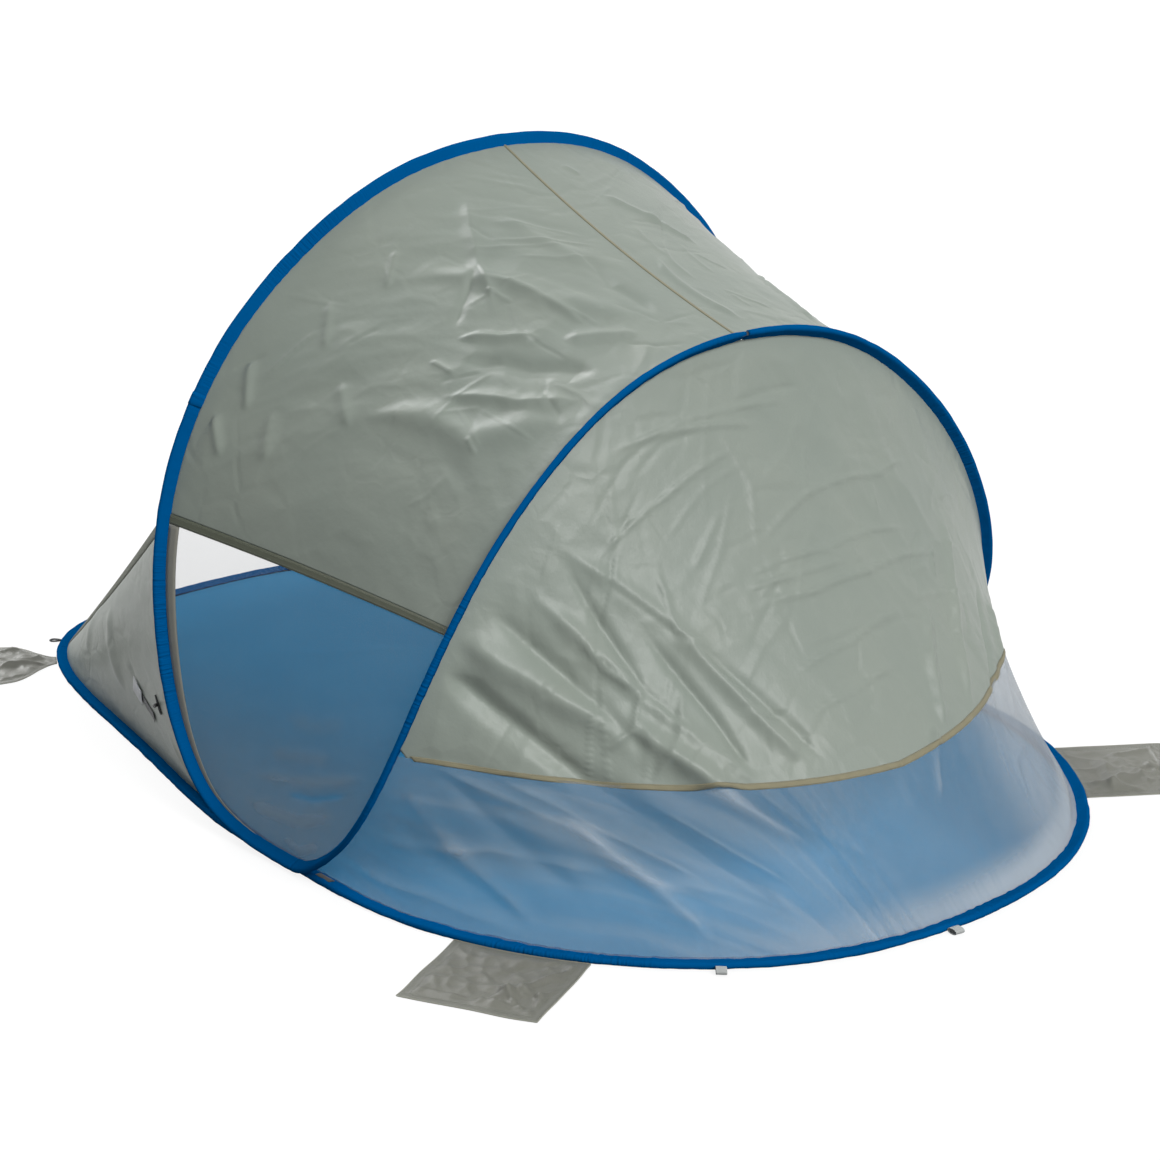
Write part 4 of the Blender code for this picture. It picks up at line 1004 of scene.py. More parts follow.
def buildSides():
    hemTop = tent["legSteps"] + sideCloth["hemWidth"] / sideCloth["stationLength"]
    ends = {"side_mesh": (sideCloth["foot"], tent["legSteps"]), "side_hem": (tent["legSteps"], hemTop),
            "canopy": (hemTop, archSteps)}
    rows = {kind: np.linspace(*ends[kind], sideParts[kind][0]) for kind in sideParts}
    for side, seed in (("near", 21), ("far", 31)):
        grid, slack = sideGrid(np.concatenate(list(rows.values())), side, seed, hemTop)
        start = 0
        for kind, (count, finish, slot, thickness) in sideParts.items():
            part = grid[start:start + count]
            start += count
            if kind == "side_hem":
                part = part + gridNormals(part, tentMiddle) * sideCloth["hemLift"]
            name = kind + "_" + side
            piece = clothPiece(name + "_cloth", part, finishes[finish], thickness)
            dress(piece, slot, *halves, zone=foldZone, nodes=[name])
            made[name] = (piece, part)
        mesh, part = made["side_mesh_" + side]
        # the side net is drawn denser and paler towards the ground, and on its slack folds as painted sheen
        low = 0.75 * (1 - smoothStep(0.03, 0.34, part[..., 2]))
        addEdge(mesh, low + 0.22 * slack[:len(part)] / mm)
        buildMeshBorder(side, rows["side_mesh"])
        hem = made["side_hem_" + side][1]
        out = gridNormals(hem, tentMiddle) * sideCloth["stitchLift"]
        lines = [hem[row] + out[row] for row in (1, -2)]
        stitches = alongLines("side_hem_stitches_" + side, "stitch", lines, "thread")
        dress(stitches, "binding", *halves, zone=foldZone)
    buildRidgeTape(made["canopy_near"][1][-1])


buildSides()
print("canopy and sides made")

wingFolds = {
    "near": [
        ([(0.16, 0.62), (0.30, 0.70), (0.42, 0.74)], 22, 5.0, 0.1),
        ([(0.10, 0.42), (0.22, 0.52), (0.34, 0.60)], 16, -4.0, 0.2),
        ([(0.14, 0.86), (0.26, 0.88), (0.40, 0.84)], 20, 4.0, 0.1),
        ([(0.05, 0.30), (0.14, 0.36), (0.24, 0.44)], 10, 3.0, 0.3),
        ([(0.10, 1.04), (0.18, 1.02), (0.30, 0.96)], 14, -3.0, 0.2),
    ],
}
wingFolds["far"] = [([(x, y + 0.03) for x, y in points], width, height, sharp)
                    for points, width, height, sharp in wingFolds["near"]]


wingCloth = {"foot": 0.25, "hemWidth": 12 * mm, "stationLength": 50.8 * mm, "rows": 110, "hemRows": 5,
             "columns": 96, "stitchLift": 1.0 * mm, "from": (0, 0, 0.2)}


def buildWings():
    top = stationAtHeight(archFront, tent["wingTopHeight"])
    hemFoot = top - wingCloth["hemWidth"] / wingCloth["stationLength"]
    rows = np.concatenate([np.linspace(wingCloth["foot"], hemFoot, wingCloth["rows"]),
                           np.linspace(hemFoot, top, wingCloth["hemRows"])])
    base = wingSurface(rows, np.linspace(0, 1, wingCloth["columns"]), top)
    x = metres(base, 1)
    y = metres(base, 0)
    for side, seed in (("near", 41), ("far", 51)):
        heights = drawFolds(x, y, wingFolds[side])
        heights += 1.5 * mm * layeredNoise(x / 0.16, y / 0.12, seed)
        heights += 0.4 * mm * ridgedNoise(x / 0.05, y / 0.07, seed + 4)
        heights *= edgeMask(x, 0.04, 0.04) * smoothStep(0, 0.06, y[-1:] - y)
        # the cloth lies flat under the label and the tie
        for node in ("wing_label", "tie_loop") if side == "near" else ():
            heights *= smoothStep(0.03, 0.09, np.linalg.norm(base - nodeFrame(node)[0], axis=2))
        grid = onSide(ruffle(base, wingCloth["from"], heights), side)
        cloth = grid[:wingCloth["rows"]]
        hem = grid[wingCloth["rows"]:]
        piece = clothPiece("front_wing_" + side + "_cloth", cloth, finishes["canopy"], 0.5 * mm)
        dress(piece, "canopy", "front_half", nodes=["front_wing_" + side])
        made["front_wing_" + side] = (piece, cloth)
        border = clothPiece("wing_hem_" + side + "_cloth", hem, finishes["binding"], 1.8 * mm)
        dress(border, "binding", "front_half", nodes=["wing_hem_" + side])
        out = gridNormals(hem, wingCloth["from"])[1] * wingCloth["stitchLift"]
        stitches = alongLines("wing_hem_stitches_" + side, "stitch", [hem[1] + out, hem[1] - out], "thread")
        dress(stitches, "binding", "front_half")


buildWings()
print("wings made")

# Rear folds: x is metres round the rear arch from the near foot, y metres down from the arch
rearFolds = [
    ([(0.520, -0.03), (0.580, 0.100), (0.641, 0.214), (0.794, 0.445), (0.880, 0.590)], 22, 11.0, 0.15),
    ([(0.480, -0.02), (0.524, 0.122), (0.590, 0.290), (0.700, 0.470)], 18, -9.0, 0.1),
    ([(0.600, 0.020), (0.678, 0.245), (0.740, 0.400)], 15, -8.0, 0.2),
    ([(0.671, 0.060), (0.734, 0.223), (0.824, 0.434), (0.900, 0.560)], 16, 7.0, 0.3),
    ([(0.751, 0.084), (0.774, 0.314), (0.824, 0.415)], 10, -6.0, 0.4),
    ([(0.711, 0.170), (0.728, 0.243), (0.761, 0.305)], 6, 4.0, 0.9),
    ([(0.744, 0.053), (0.877, 0.293), (0.960, 0.503), (1.007, 0.588)], 14, 7.5, 0.4),
    ([(0.821, 0.252), (0.874, 0.432), (0.891, 0.527)], 10, -6.0, 0.4),
    ([(0.794, 0.148), (0.897, 0.338)], 9, -5.0, 0.5),
    ([(0.897, 0.328), (0.974, 0.464), (1.047, 0.601)], 12, -5.5, 0.5),
    ([(0.640, 0.300), (0.720, 0.330), (0.790, 0.300)], 6, 3.5, 0.8),
    ([(0.700, 0.400), (0.790, 0.400), (0.850, 0.360)], 6, 3.0, 0.8),
    ([(0.900, 0.200), (0.880, 0.300), (0.930, 0.360)], 6, 3.0, 0.8),
    ([(0.957, 0.261), (1.057, 0.212)], 5, 2.2, 0.9),
    ([(0.306, 0.008), (0.341, 0.170), (0.409, 0.348)], 14, 6.0, 0.2),
    ([(0.381, 0.064), (0.427, 0.222), (0.490, 0.386)], 14, -6.0, 0.2),
    ([(0.507, 0.254), (0.571, 0.403), (0.631, 0.537), (0.658, 0.600)], 15, 7.0, 0.3),
    ([(0.598, 0.307), (0.734, 0.546), (0.827, 0.703)], 13, -6.0, 0.3),
    ([(0.741, 0.369), (0.837, 0.540), (0.957, 0.706)], 13, 6.5, 0.3),
    ([(0.867, 0.523), (0.944, 0.649), (1.047, 0.753)], 9, -4.0, 0.5),
    ([(0.243, 0.008), (0.308, 0.157), (0.388, 0.312)], 12, -5.5, 0.2),
    ([(0.409, 0.158), (0.528, 0.345), (0.620, 0.480), (0.781, 0.641)], 14, 6.0, 0.2),
    ([(1.463, 0.390), (1.400, 0.500), (1.353, 0.620)], 11, 5.0, 0.1),
    ([(1.640, 0.180), (1.560, 0.360), (1.460, 0.580)], 12, 6.0, 0.1),
    ([(1.740, 0.240), (1.660, 0.400), (1.560, 0.560)], 10, -5.0, 0.1),
    ([(1.820, 0.200), (1.740, 0.360), (1.640, 0.520)], 12, 5.5, 0.1),
    ([(1.303, 0.620), (1.246, 0.740)], 8, 3.0, 0.3),
    ([(1.197, 0.640), (1.183, 0.720)], 8, 3.0, 0.3),
    ([(0.184, 0.008), (0.390, 0.201), (0.551, 0.413)], 9, 6.0, 0.4),
    ([(0.090, 0.003), (0.253, 0.152), (0.385, 0.329)], 9, 5.0, 0.4),
    ([(0.371, 0.039), (0.471, 0.212), (0.575, 0.398)], 10, 6.0, 0.3),
    ([(0.446, 0.129), (0.568, 0.352), (0.721, 0.576)], 8, 5.0, 0.4),
    ([(0.668, 0.391), (0.777, 0.562), (0.864, 0.689)], 9, 6.0, 0.4),
    ([(1.340, 0.598), (1.250, 0.718)], 9, 6.0, 0.2),
    ([(1.453, 0.576), (1.386, 0.706)], 9, 6.0, 0.2),
    ([(1.640, 0.560), (1.542, 0.625), (1.503, 0.720)], 9, 6.0, 0.2),
    ([(1.850, 0.450), (1.759, 0.581), (1.599, 0.740)], 10, 6.0, 0.2),
]
# long straight lines where the cloth lay folded in its bag
packLines = [
    ([(1.070, 0.294), (1.240, 0.235), (1.423, 0.200), (1.546, 0.136)], 4, 2.2, 1.0),
    ([(1.037, 0.313), (1.240, 0.320), (1.503, 0.267)], 4, 2.0, 1.0),
    ([(1.014, 0.354), (1.180, 0.375), (1.323, 0.360), (1.609, 0.267)], 5, 2.6, 0.9),
    ([(1.044, 0.471), (1.220, 0.460), (1.399, 0.410)], 4, 2.0, 1.0),
    ([(1.044, 0.530), (1.180, 0.530), (1.330, 0.500)], 4, 1.8, 1.0),
    ([(0.947, 0.062), (1.100, 0.086), (1.266, 0.099)], 4, 1.8, 1.0),
    ([(0.897, 0.045), (1.050, 0.090), (1.200, 0.127)], 5, 2.2, 0.9),
    ([(0.797, 0.135), (0.960, 0.150), (1.137, 0.143)], 4, 2.0, 1.0),
    ([(1.024, 0.328), (1.150, 0.345), (1.286, 0.341)], 4, 1.8, 1.0),
    ([(1.403, 0.213), (1.393, 0.270)], 5, 1.8, 0.9),
    ([(1.273, 0.160), (1.236, 0.232)], 4, 1.4, 0.9),
    ([(1.542, 0.269), (1.519, 0.338)], 5, 1.8, 0.8),
    ([(1.100, 0.100), (1.130, 0.200), (1.090, 0.300)], 5, 1.5, 0.7),
]
rearCreases = randomFolds(71, 60, (0.45, 0.06), (1.75, 0.62), -25, 30, (0.08, 0.28), (3, 6), (0.5, 1.3), 0.8)
rearCloth = {"foot": 0.15, "endRows": 30, "rows": 320, "panelColumns": 150, "meshColumns": 96}
# rows across the seam tape: metres above the seam or, with a minus, below it, and out of the cloth, in mm
tapeRows = [(5, 0.5), (3.4, 1.1), (1, 1.4), (-1.5, 1.3), (-3.4, 1.0), (-5, 0.5)]
tapeStitches = [(3.4, 1.5), (-3.4, 1.4)]


def seamShares(stations):
    # where the seam cuts the rear surface, and the first and last station of the panel above it
    first = stationAtHeight(archRear, tent["seamLegHeight"])
    last = 2 * archSteps - first
    high = onBand(archRear, stations, edgeOver, edgeLift)
    low = onBand(groundRear, stations, edgeOver, edgeLift)
    middle = np.minimum(stations - first, last - stations) / (archSteps - first)
    height = tent["seamLegHeight"] + (tent["seamBackHeight"] - tent["seamLegHeight"]) * np.clip(middle, 0, 1)
    tip = tent["seamTip"] / np.linalg.norm(high - low, axis=1)
    share = np.maximum(tip, (high[:, 2] - height) / (high[:, 2] - low[:, 2]))
    return np.where((stations < first) | (stations > last), 0.0, share), first, last


def rearGrid(stations, shares, x, crisp, foldHeight):
    # crisp is 1 on the panel's cloth, and less on the soft net
    base = rearSurface(stations, shares)
    fall = np.linalg.norm(rearSurface(stations, np.ones(1)) - rearSurface(stations, np.zeros(1)), axis=-1)
    y = shares * fall
    x = np.broadcast_to(x, y.shape)
    drawn = foldHeight * drawFolds(x, y, rearFolds)
    heights = drawn + 2.0 * crisp * drawFolds(x, y, packLines + rearCreases)
    heights += 2.0 * mm * layeredNoise((x - 0.6 * y) / 0.09, (y + 0.3 * x) / 0.3, 61)
    heights += crumples(x, y, 0.095, 6.5 * mm * crisp, 66, -0.5)
    heights += crumples(x, y, 0.042, 2.6 * mm * crisp, 76, -0.3)
    still = smoothStep(0, 0.05, y) * smoothStep(0, 0.04, fall - y)
    still = still * smoothStep(0, 0.10, np.minimum(x, archRear["along"][-1] - x))
    return ruffle(base, (0, 0, 0), heights * still), drawn * still


def netDensityAndSheen(mesh, stations, arcX, folds):
    # the net is drawn denser and paler by the ring, round the far side, on its raised folds and in streaks
    # along its pull: painted sheen of net seen at a slant; it is thinner in its fold hollows
    toRing = np.linalg.norm(mesh - mesh[:, -1:], axis=2)
    veilWidth = 0.07 + 0.13 * smoothStep(20, 27, stations)[:, None]
    veil = 1 - smoothStep(0, 1, (toRing - 0.01) / (veilWidth - 0.01))
    veil = veil * (0.15 + 1.05 * smoothStep(10, 22, stations)[:, None])
    side = 0.75 * smoothStep(0.10, 0.30, mesh[..., 1])
    foldSheen = 0.55 * smoothStep(1 * mm, 9 * mm, folds) - 0.35 * smoothStep(1 * mm, 9 * mm, -folds)
    fall = np.linalg.norm(mesh - rearSurface(stations, np.zeros(1)), axis=2)
    pulled = arcX - fall * (0.8 - 1.5 * smoothStep(0.8, 1.6, arcX))
    streaks = 0.7 * valueNoise(pulled / 0.020, fall / 0.30, 64)
    streaks += 0.5 * valueNoise(pulled / 0.009, fall / 0.22, 65)
    streaks *= (1 - 0.75 * smoothStep(0.95, 1.15, arcX)) * smoothStep(0, 0.05, fall)
    return np.maximum(np.maximum(veil, side), foldSheen) + 0.26 * streaks


def buildRear():
    _, first, last = seamShares(np.array([float(archSteps)]))
    ends = np.linspace(rearCloth["foot"], first, rearCloth["endRows"] + 1)[:-1]
    panelStations = np.linspace(first, last, rearCloth["rows"])
    stations = np.concatenate([ends, panelStations, lastStation(archRear) - ends[::-1]])
    inPanel = slice(len(ends), len(ends) + rearCloth["rows"])
    cut = seamShares(stations)[0][:, None]
    arcX = np.interp(stations, archRear["stations"], archRear["along"])[:, None]
    panelShares = cut[inPanel] * np.linspace(0, 1, rearCloth["panelColumns"])
    meshShares = cut + (1 - cut) * np.linspace(0, 1, rearCloth["meshColumns"])
    panel, _ = rearGrid(panelStations, panelShares, arcX[inPanel], 1.0, 1.5)
    mesh, meshFolds = rearGrid(stations, meshShares, arcX, 0.25, 0.7875)
    piece = clothPiece("rear_panel_cloth", panel, finishes["rearPanel"], 0.5 * mm)
    dress(piece, "canopy", "rear_half", nodes=["rear_panel"])
    made["rear_panel"] = (piece, panel)
    net = clothPiece("rear_mesh_cloth", mesh, finishes["mesh"], 0.5 * mm)
    addEdge(net, netDensityAndSheen(mesh, stations, arcX, meshFolds))
    dress(net, "mesh", "rear_half", nodes=["rear_mesh"])
    made["rear_mesh"] = (net, mesh)
    seam = panel[:, -1]
    above = unit(panel[:, -3] - seam)
    below = unit(mesh[inPanel, 2] - seam)
    out = gridNormals(panel, (0, 0, 0))[:, -2]

    def onSeam(away, lift):
        row = seam + (above if away > 0 else below) * abs(away) * mm + out * lift * mm
        return row[2:-2]

    tape = clothPiece("rear_seam_tape_cloth", np.stack([onSeam(*row) for row in tapeRows]), finishes["tape"],
                      0.5 * mm)
    dress(tape, "tape", "rear_half", nodes=["rear_seam_tape"])
    stitches = alongLines("rear_seam_stitches", "stitch", [onSeam(*row) for row in tapeStitches], "thread")
    dress(stitches, "tape", "rear_half")


buildRear()
print("rear panel made")


# Floor sheet, one piece from end to end, bending at the fold
floorSheet = {"frontRows": 150, "rearRows": 90, "columns": 90, "rest": 1.6 * mm, "least": 0.9 * mm,
              "edgeWidth": 0.03, "thick": 0.7 * mm}


def buildFloor():
    frontStations = np.linspace(tent["frontRingSteps"], 0, floorSheet["frontRows"])
    rearStations = np.linspace(0, archSteps, floorSheet["rearRows"])
    edge = np.concatenate([onBand(groundFront, frontStations, edgeOver, 0)[:-1],
                           onBand(groundRear, rearStations, edgeOver, 0)])
    shares = np.linspace(-1, 1, floorSheet["columns"])
    grid = np.stack([np.stack([np.full(len(shares), x), y * shares, np.full(len(shares), z)], axis=1)
                     for x, y, z in edge])
    x = grid[..., 0]
    y = grid[..., 1]
    creases = randomFolds(82, 22, (-0.9, -0.5), (0.9, 0.5), 70, 50, (0.15, 0.5), (6, 14), (0.6, 2.2), 0.4)
    heights = floorSheet["rest"] + 0.63 * mm * (1 + layeredNoise(x / 0.28, y / 0.22, 81))
    heights = np.maximum(heights + 0.8 * drawFolds(x, y, creases), floorSheet["least"])
    toSide = (1 - np.abs(shares)) * np.abs(edge[:, 1:2])
    toEnd = np.minimum(edge[:, :1] - edge[0, 0], edge[-1, 0] - edge[:, :1])
    inner = smoothStep(0, floorSheet["edgeWidth"], np.minimum(toSide, toEnd))
    grid[..., 2] = inner * heights + (1 - inner) * tent["groundRise"]
    piece = clothPiece("floor_sheet", grid, finishes["floor"], floorSheet["thick"],
                       np.stack([x, y], axis=-1).reshape(-1, 2))
    dress(piece, "floor", *halves, zone=footZone, nodes=["floor_front", "floor_rear"])
    made["floor"] = (piece, grid)


buildFloor()
print("floor made")


# Sand pockets
pocket = {"depth": 0.172, "standOff": 0.8 * mm, "hem": 26 * mm, "hemRise": 5 * mm, "edge": 1.2 * mm,
          "puff": 6.0 * mm, "flange": 9 * mm, "rows": 64, "columns": 72, "seamBack": 3 * mm,
          "seamOut": 9 * mm, "piping": 1.8 * mm, "stitchStep": 4.5 * mm, "stitchLift": 0.2 * mm}
# width at the ring, width at the free edge, and how wide the sewn neck is as a share
pocketShapes = {"front": (0.155, 0.225, 0.22), "rear": (0.205, 0.205, 1.0)}
up = np.array([0, 0, 1.0])


def outside(band, station, away):
    # a place on the ground at the ring's outer edge, and the directions out of the ring and along it
    centre, across, _ = bandRows(band, [station])
    outward = -unit(across[0])
    point = centre[0] + outward * (sleeve["halfBand"] + away)
    point[2] = 0.0
    return point, outward, np.array([-outward[1], outward[0], 0])


def pocketHeights(x, y, side, wide, seed):
    # the top of a pocket over its flat shape: a stitched flange, gathers at the ring, folds and a turned hem
    creases = randomFolds(seed, 9, (-0.08, 0.03), (0.08, 0.15), 60, 45, (0.07, 0.16), (6, 12),
                          (3.5, 7.0), 0.6)
    toEnd = pocket["depth"] - y
    toEdge = np.minimum(np.minimum((0.5 - np.abs(side)) * wide, toEnd), y + 4 * mm)
    pleats = np.sin(x / (6.5 * mm) + 1.5 * valueNoise(x / 0.03, y / 0.05, seed))
    pleats = np.exp(-y / (35 * mm)) * pleats * smoothStep(0, 6 * mm, y)
    crumple = 1.2 * mm * layeredNoise(x / 0.05, y / 0.06, seed + 2)
    crumple += 1.0 * mm * ridgedNoise(x / 0.03, y / 0.035, seed)
    crumple += crumples(x, y, 0.060, 26.0 * mm, seed + 20, 0.3)
    crumple += crumples(x, y, 0.026, 8.0 * mm, seed + 30, -0.3)
    hemShare = smoothStep(-pocket["hem"] * 1.3, -pocket["hem"], -toEnd)
    crumple += pocket["hemRise"] * hemShare * np.minimum(toEnd / pocket["hem"], 1)
    puff = pocket["puff"] * 0.55 * (0.7 + 0.3 * valueNoise(x / 0.08, y / 0.07, seed + 5))
    full = smoothStep(pocket["flange"] * 0.6, pocket["flange"] * 3.2, toEdge)
    top = pocket["edge"] + full * (puff + drawFolds(x, y, creases) + crumple)
    top += 1.1 * mm * np.maximum(pleats, 0)
    border = smoothStep(0, 2 * mm, toEdge) * (1 - smoothStep(6 * mm, 8 * mm, toEdge))
    return np.maximum(top, 0.9 * mm) + 0.5 * mm * border


def buildPocket(place, band, station, seed):
    name = "sand_pocket_" + place
    bodies = (place.split("_")[0] + "_half", place + "_pocket")
    width, flare, neck = pocketShapes[place.split("_")[0]]
    origin, outward, along = outside(band, station, pocket["standOff"])
    out, side = np.meshgrid(np.linspace(0, 1, pocket["rows"]), np.linspace(-0.5, 0.5, pocket["columns"]),
                            indexing="ij")
    wide = width * (neck + (1 - neck) * smoothStep(0, 0.5, out)) + (flare - width) * out
    x = side * wide
    y = out * pocket["depth"]
    top = pocketHeights(x, y, side, wide, seed)
    # uneven edges, and a sewn edge that follows the ring
    wobble = 1.6 * mm * valueNoise(y / 0.05 + 10, np.sign(side), seed + 7)
    x = x + wobble * np.abs(side) * 2 * smoothStep(0, 0.03, y)
    y = y + 1.8 * mm * valueNoise(x / 0.06, np.full_like(x, 3), seed + 8) * out
    beside = outside(band, station + 1, pocket["standOff"])[0] - origin
    bend = np.dot(beside, outward) / np.dot(beside, along) ** 2
    y = y + bend * x ** 2 * (1 - smoothStep(0, 0.8, out))
    flat = origin + outward * y[..., None] + along * x[..., None]
    upper = flat + up * top[..., None]
    lower = flat + up * 0.35 * mm
    rows, columns = top.shape
    count = rows * columns
    faces = gridFaces(rows, columns)
    rim = np.concatenate([np.arange(columns), np.arange(1, rows) * columns + columns - 1,
                          (rows - 1) * columns + np.arange(columns - 2, -1, -1),
                          np.arange(rows - 2, 0, -1) * columns])
    after = np.roll(rim, -1)
    wall = np.stack([rim, after, after + count, rim + count], axis=1)
    uvs = np.stack([x, y], axis=-1).reshape(-1, 2)
    piece = newPiece(name + "_cloth", np.concatenate([upper.reshape(-1, 3), lower.reshape(-1, 3)]),
                     np.concatenate([faces, faces[:, ::-1] + count, wall]), finishes["pocket"],
                     np.concatenate([uvs, uvs]))
    seam = {"start": tuple(origin - outward * pocket["seamBack"]),
            "end": tuple(origin + outward * pocket["seamOut"])}
    dress(facesOut(piece), "pocket", *bodies, zone=seam, nodes=[name])
    piping = upper.reshape(-1, 3)[rim] - up * pocket["stitchLift"]
    cord = alongLines(name + "_piping", "cord", [piping], "piping", {"Thickness": pocket["piping"]},
                      closed=True)
    dress(cord, "pocket", *bodies, zone=seam)
    inner = [upper[4:-4, 5], upper[4:-4, -6], upper[-5, 5:-5], upper[4, 5:-5]]
    stitches = alongLines(name + "_stitches", "stitch", [line + up * pocket["stitchLift"] for line in inner],
                          "thread", {"Step": pocket["stitchStep"]})
    dress(stitches, "pocket", *bodies, zone=seam)


frontStation = 0.690 * tent["frontRingSteps"]
buildPocket("front_near", groundFront, frontStation, 91)
buildPocket("front_far", groundFront, lastStation(groundFront) - frontStation, 92)
buildPocket("rear_near", groundRear, 0.390 * archSteps, 93)
buildPocket("rear_far", groundRear, (2 - 0.484) * archSteps, 94)
print("pockets made")


# Peg loops
loops = {"cord": 3.2 * mm, "length": 24 * mm, "width": 17 * mm, "cordLift": 0.2 * mm, "seamFrom": 1 * mm,
         "seamTo": 8 * mm, "ribbonWidth": 15 * mm, "ribbonLength": 18 * mm, "ribbonHeight": 9 * mm,
         "ribbonThick": 1.0 * mm}
whip = {"out": 4.2 * mm, "halfWidth": 4.6 * mm, "halfHeight": 2.1 * mm, "rise": 0.5 * mm, "thread": 0.8 * mm,
        "turns": 1.25}


def buildElastic(place, band, station):
    name = "peg_loop_" + place
    bodies = ("front_half", place + "_loop")
    origin, outward, along = outside(band, station, 0.5 * mm)
    seam = {"start": tuple(origin + outward * loops["seamFrom"]),
            "end": tuple(origin + outward * loops["seamTo"])}
    reach = (loops["length"] - loops["cord"]) / 2
    half = (loops["width"] - loops["cord"]) / 2
    rise = up * (loops["cord"] / 2 + loops["cordLift"])
    turns = np.linspace(0, math.tau, 48, endpoint=False)
    long = loops["length"] / 2 + reach * np.cos(turns)
    wide = half * np.sin(turns) * (0.55 + 0.45 * smoothStep(0, 1, (np.cos(turns) + 1) / 2))
    line = [origin + outward * a + along * b + rise for a, b in zip(long, wide)]
    piece = alongLines(name + "_cord", "cord", [line], "elastic",
                       {"Thickness": loops["cord"], "Step": 1.5 * mm}, closed=True)
    dress(piece, "elastic", *bodies, zone=seam, nodes=[name])
    # a whipped band of thread where the two legs of the cord meet the sleeve
    centre = origin + outward * whip["out"] + rise
    line = [centre + along * whip["halfWidth"] * math.cos(turn) + up * whip["halfHeight"] * math.sin(turn)
            + outward * whip["rise"] * turn for turn in np.linspace(0, whip["turns"] * math.tau, 120)]
    whipping = alongLines(name + "_whipping", "cord", [line], "thread",
                          {"Thickness": whip["thread"], "Step": whip["thread"]})
    dress(whipping, "elastic", *bodies, zone=seam)


def buildRibbon(place, station):
    name = "peg_loop_" + place
    origin, outward, along = outside(groundRear, station, 0.3 * mm)
    half = loops["ribbonLength"] / 2
    high = loops["ribbonHeight"] / 2
    turns = np.linspace(0, math.tau, 64, endpoint=False)
    # a soft loop, flatter on the ground than on top
    out = half + (half - 0.6 * mm) * np.cos(turns)
    rise = high + (high - 0.6 * mm) * np.sign(np.sin(turns)) * np.abs(np.sin(turns)) ** 0.8
    over = np.linspace(-1, 1, 12) * loops["ribbonWidth"] / 2
    grid = np.stack([[origin + outward * (a + 0.6 * mm * math.sin(300 * b)) + along * b + up * c
                      for b in over] for a, c in zip(out, rise)])
    piece = newPiece(name + "_web", grid, gridFaces(*grid.shape[:2], roundRows=True), finishes["ribbon"],
                     gridUvs(grid))
    thicken(piece, loops["ribbonThick"])
    dress(piece, "ribbon", place + "_loop", nodes=[name])


elasticStation = 0.757 * tent["frontRingSteps"]
buildElastic("front_near", groundFront, elasticStation)
buildElastic("front_far", groundFront, lastStation(groundFront) - elasticStation)
buildRibbon("rear_near", 0.635 * archSteps)
buildRibbon("rear_mid", 0.940 * archSteps)
print("peg loops made")


# Label, tie and toggle, foot tabs, rods
def layOn(points, cloth, away):
    # puts points on the nearest places of a cloth grid, a little clear of it
    flat = cloth.reshape(-1, 3)
    out = gridNormals(cloth, wingCloth["from"]).reshape(-1, 3)
    found = np.empty_like(points).reshape(-1, 3)
    for k, point in enumerate(points.reshape(-1, 3)):
        gap = np.linalg.norm(flat - point, axis=1)
        near = np.argsort(gap)[:6]
        weight = 1 / (gap[near] + 0.5 * mm) ** 2
        normal = unit((out[near] * weight[:, None]).sum(0) / weight.sum())
        spot = (flat[near] * weight[:, None]).sum(0) / weight.sum()
        found[k] = point + normal * (np.dot(spot - point, normal) + away)
    return found.reshape(points.shape)


def outOfWing(node):
    # a small node on the near wing, with its long and wide directions and the one out of the cloth
    centre, (long, wide, out) = nodeFrame(node)
    return centre, long, wide, out * (1 if out[1] < 0 else -1)


# a dark woven label, left blank, and a pale crumpled satin patch beside it, a painted highlight that
# stands for the bright sheen on the wing there: each part's finish, its two ends, half width and height
# over the cloth, in mm
labelParts = {"cloth": ("label", -35, 35, 8.5, 1.3), "fold": ("labelHighlight", -62, -20, 15.0, 2.1)}


def buildLabel():
    centre, long, wide, out = outOfWing("wing_label")
    long = long * (1 if long[0] > 0 else -1)
    for part, (finish, low, high, half, away) in labelParts.items():
        x, y = np.meshgrid(np.linspace(low, high, 40) * mm, np.linspace(-half, half, 12) * mm, indexing="ij")
        flat = centre + long * x[..., None] + wide * y[..., None]
        curl = 0.5 * mm * valueNoise(x / 0.02, y / 0.02, 97)
        curl += 1.2 * mm * np.minimum(np.abs(x) / 0.035, 1) ** 4
        # the pale patch, a painted highlight, is crumpled
        if part == "fold":
            curl += np.abs(crumples(x, y, 0.018, 6.0 * mm, 98))
            curl += 1.5 * mm * valueNoise(x / 0.012, y / 0.012, 99) ** 2
        grid = layOn(flat, made["front_wing_near"][1], away * mm) + out * curl[..., None]
        piece = clothPiece("wing_label_" + part, grid, finishes[finish], 0.6 * mm)
        dress(piece, "label", "front_half", nodes=["wing_label"] if part == "cloth" else ())
        if part == "cloth":
            ends = [grid[1] + out * 0.5 * mm, grid[-2] + out * 0.5 * mm]
    stitches = alongLines("wing_label_stitches", "stitch", ends, "thread",
                          {"Step": 2.4 * mm, "Length": 1.8 * mm})
    dress(stitches, "label", "front_half")


tie = {"cord": 2.4 * mm, "step": 1.2 * mm, "halfLength": 15.8 * mm, "halfWidth": 5.3 * mm, "lift": 1.2 * mm}
# half of the toggle in mm along its axis and out from it: a barrel with a groove and rounded ends
toggleHalf = [(1.4, 2.3), (2.0, 3.2), (5.2, 3.2), (6.8, 2.9), (7.7, 2.0), (8.0, 0.6)]


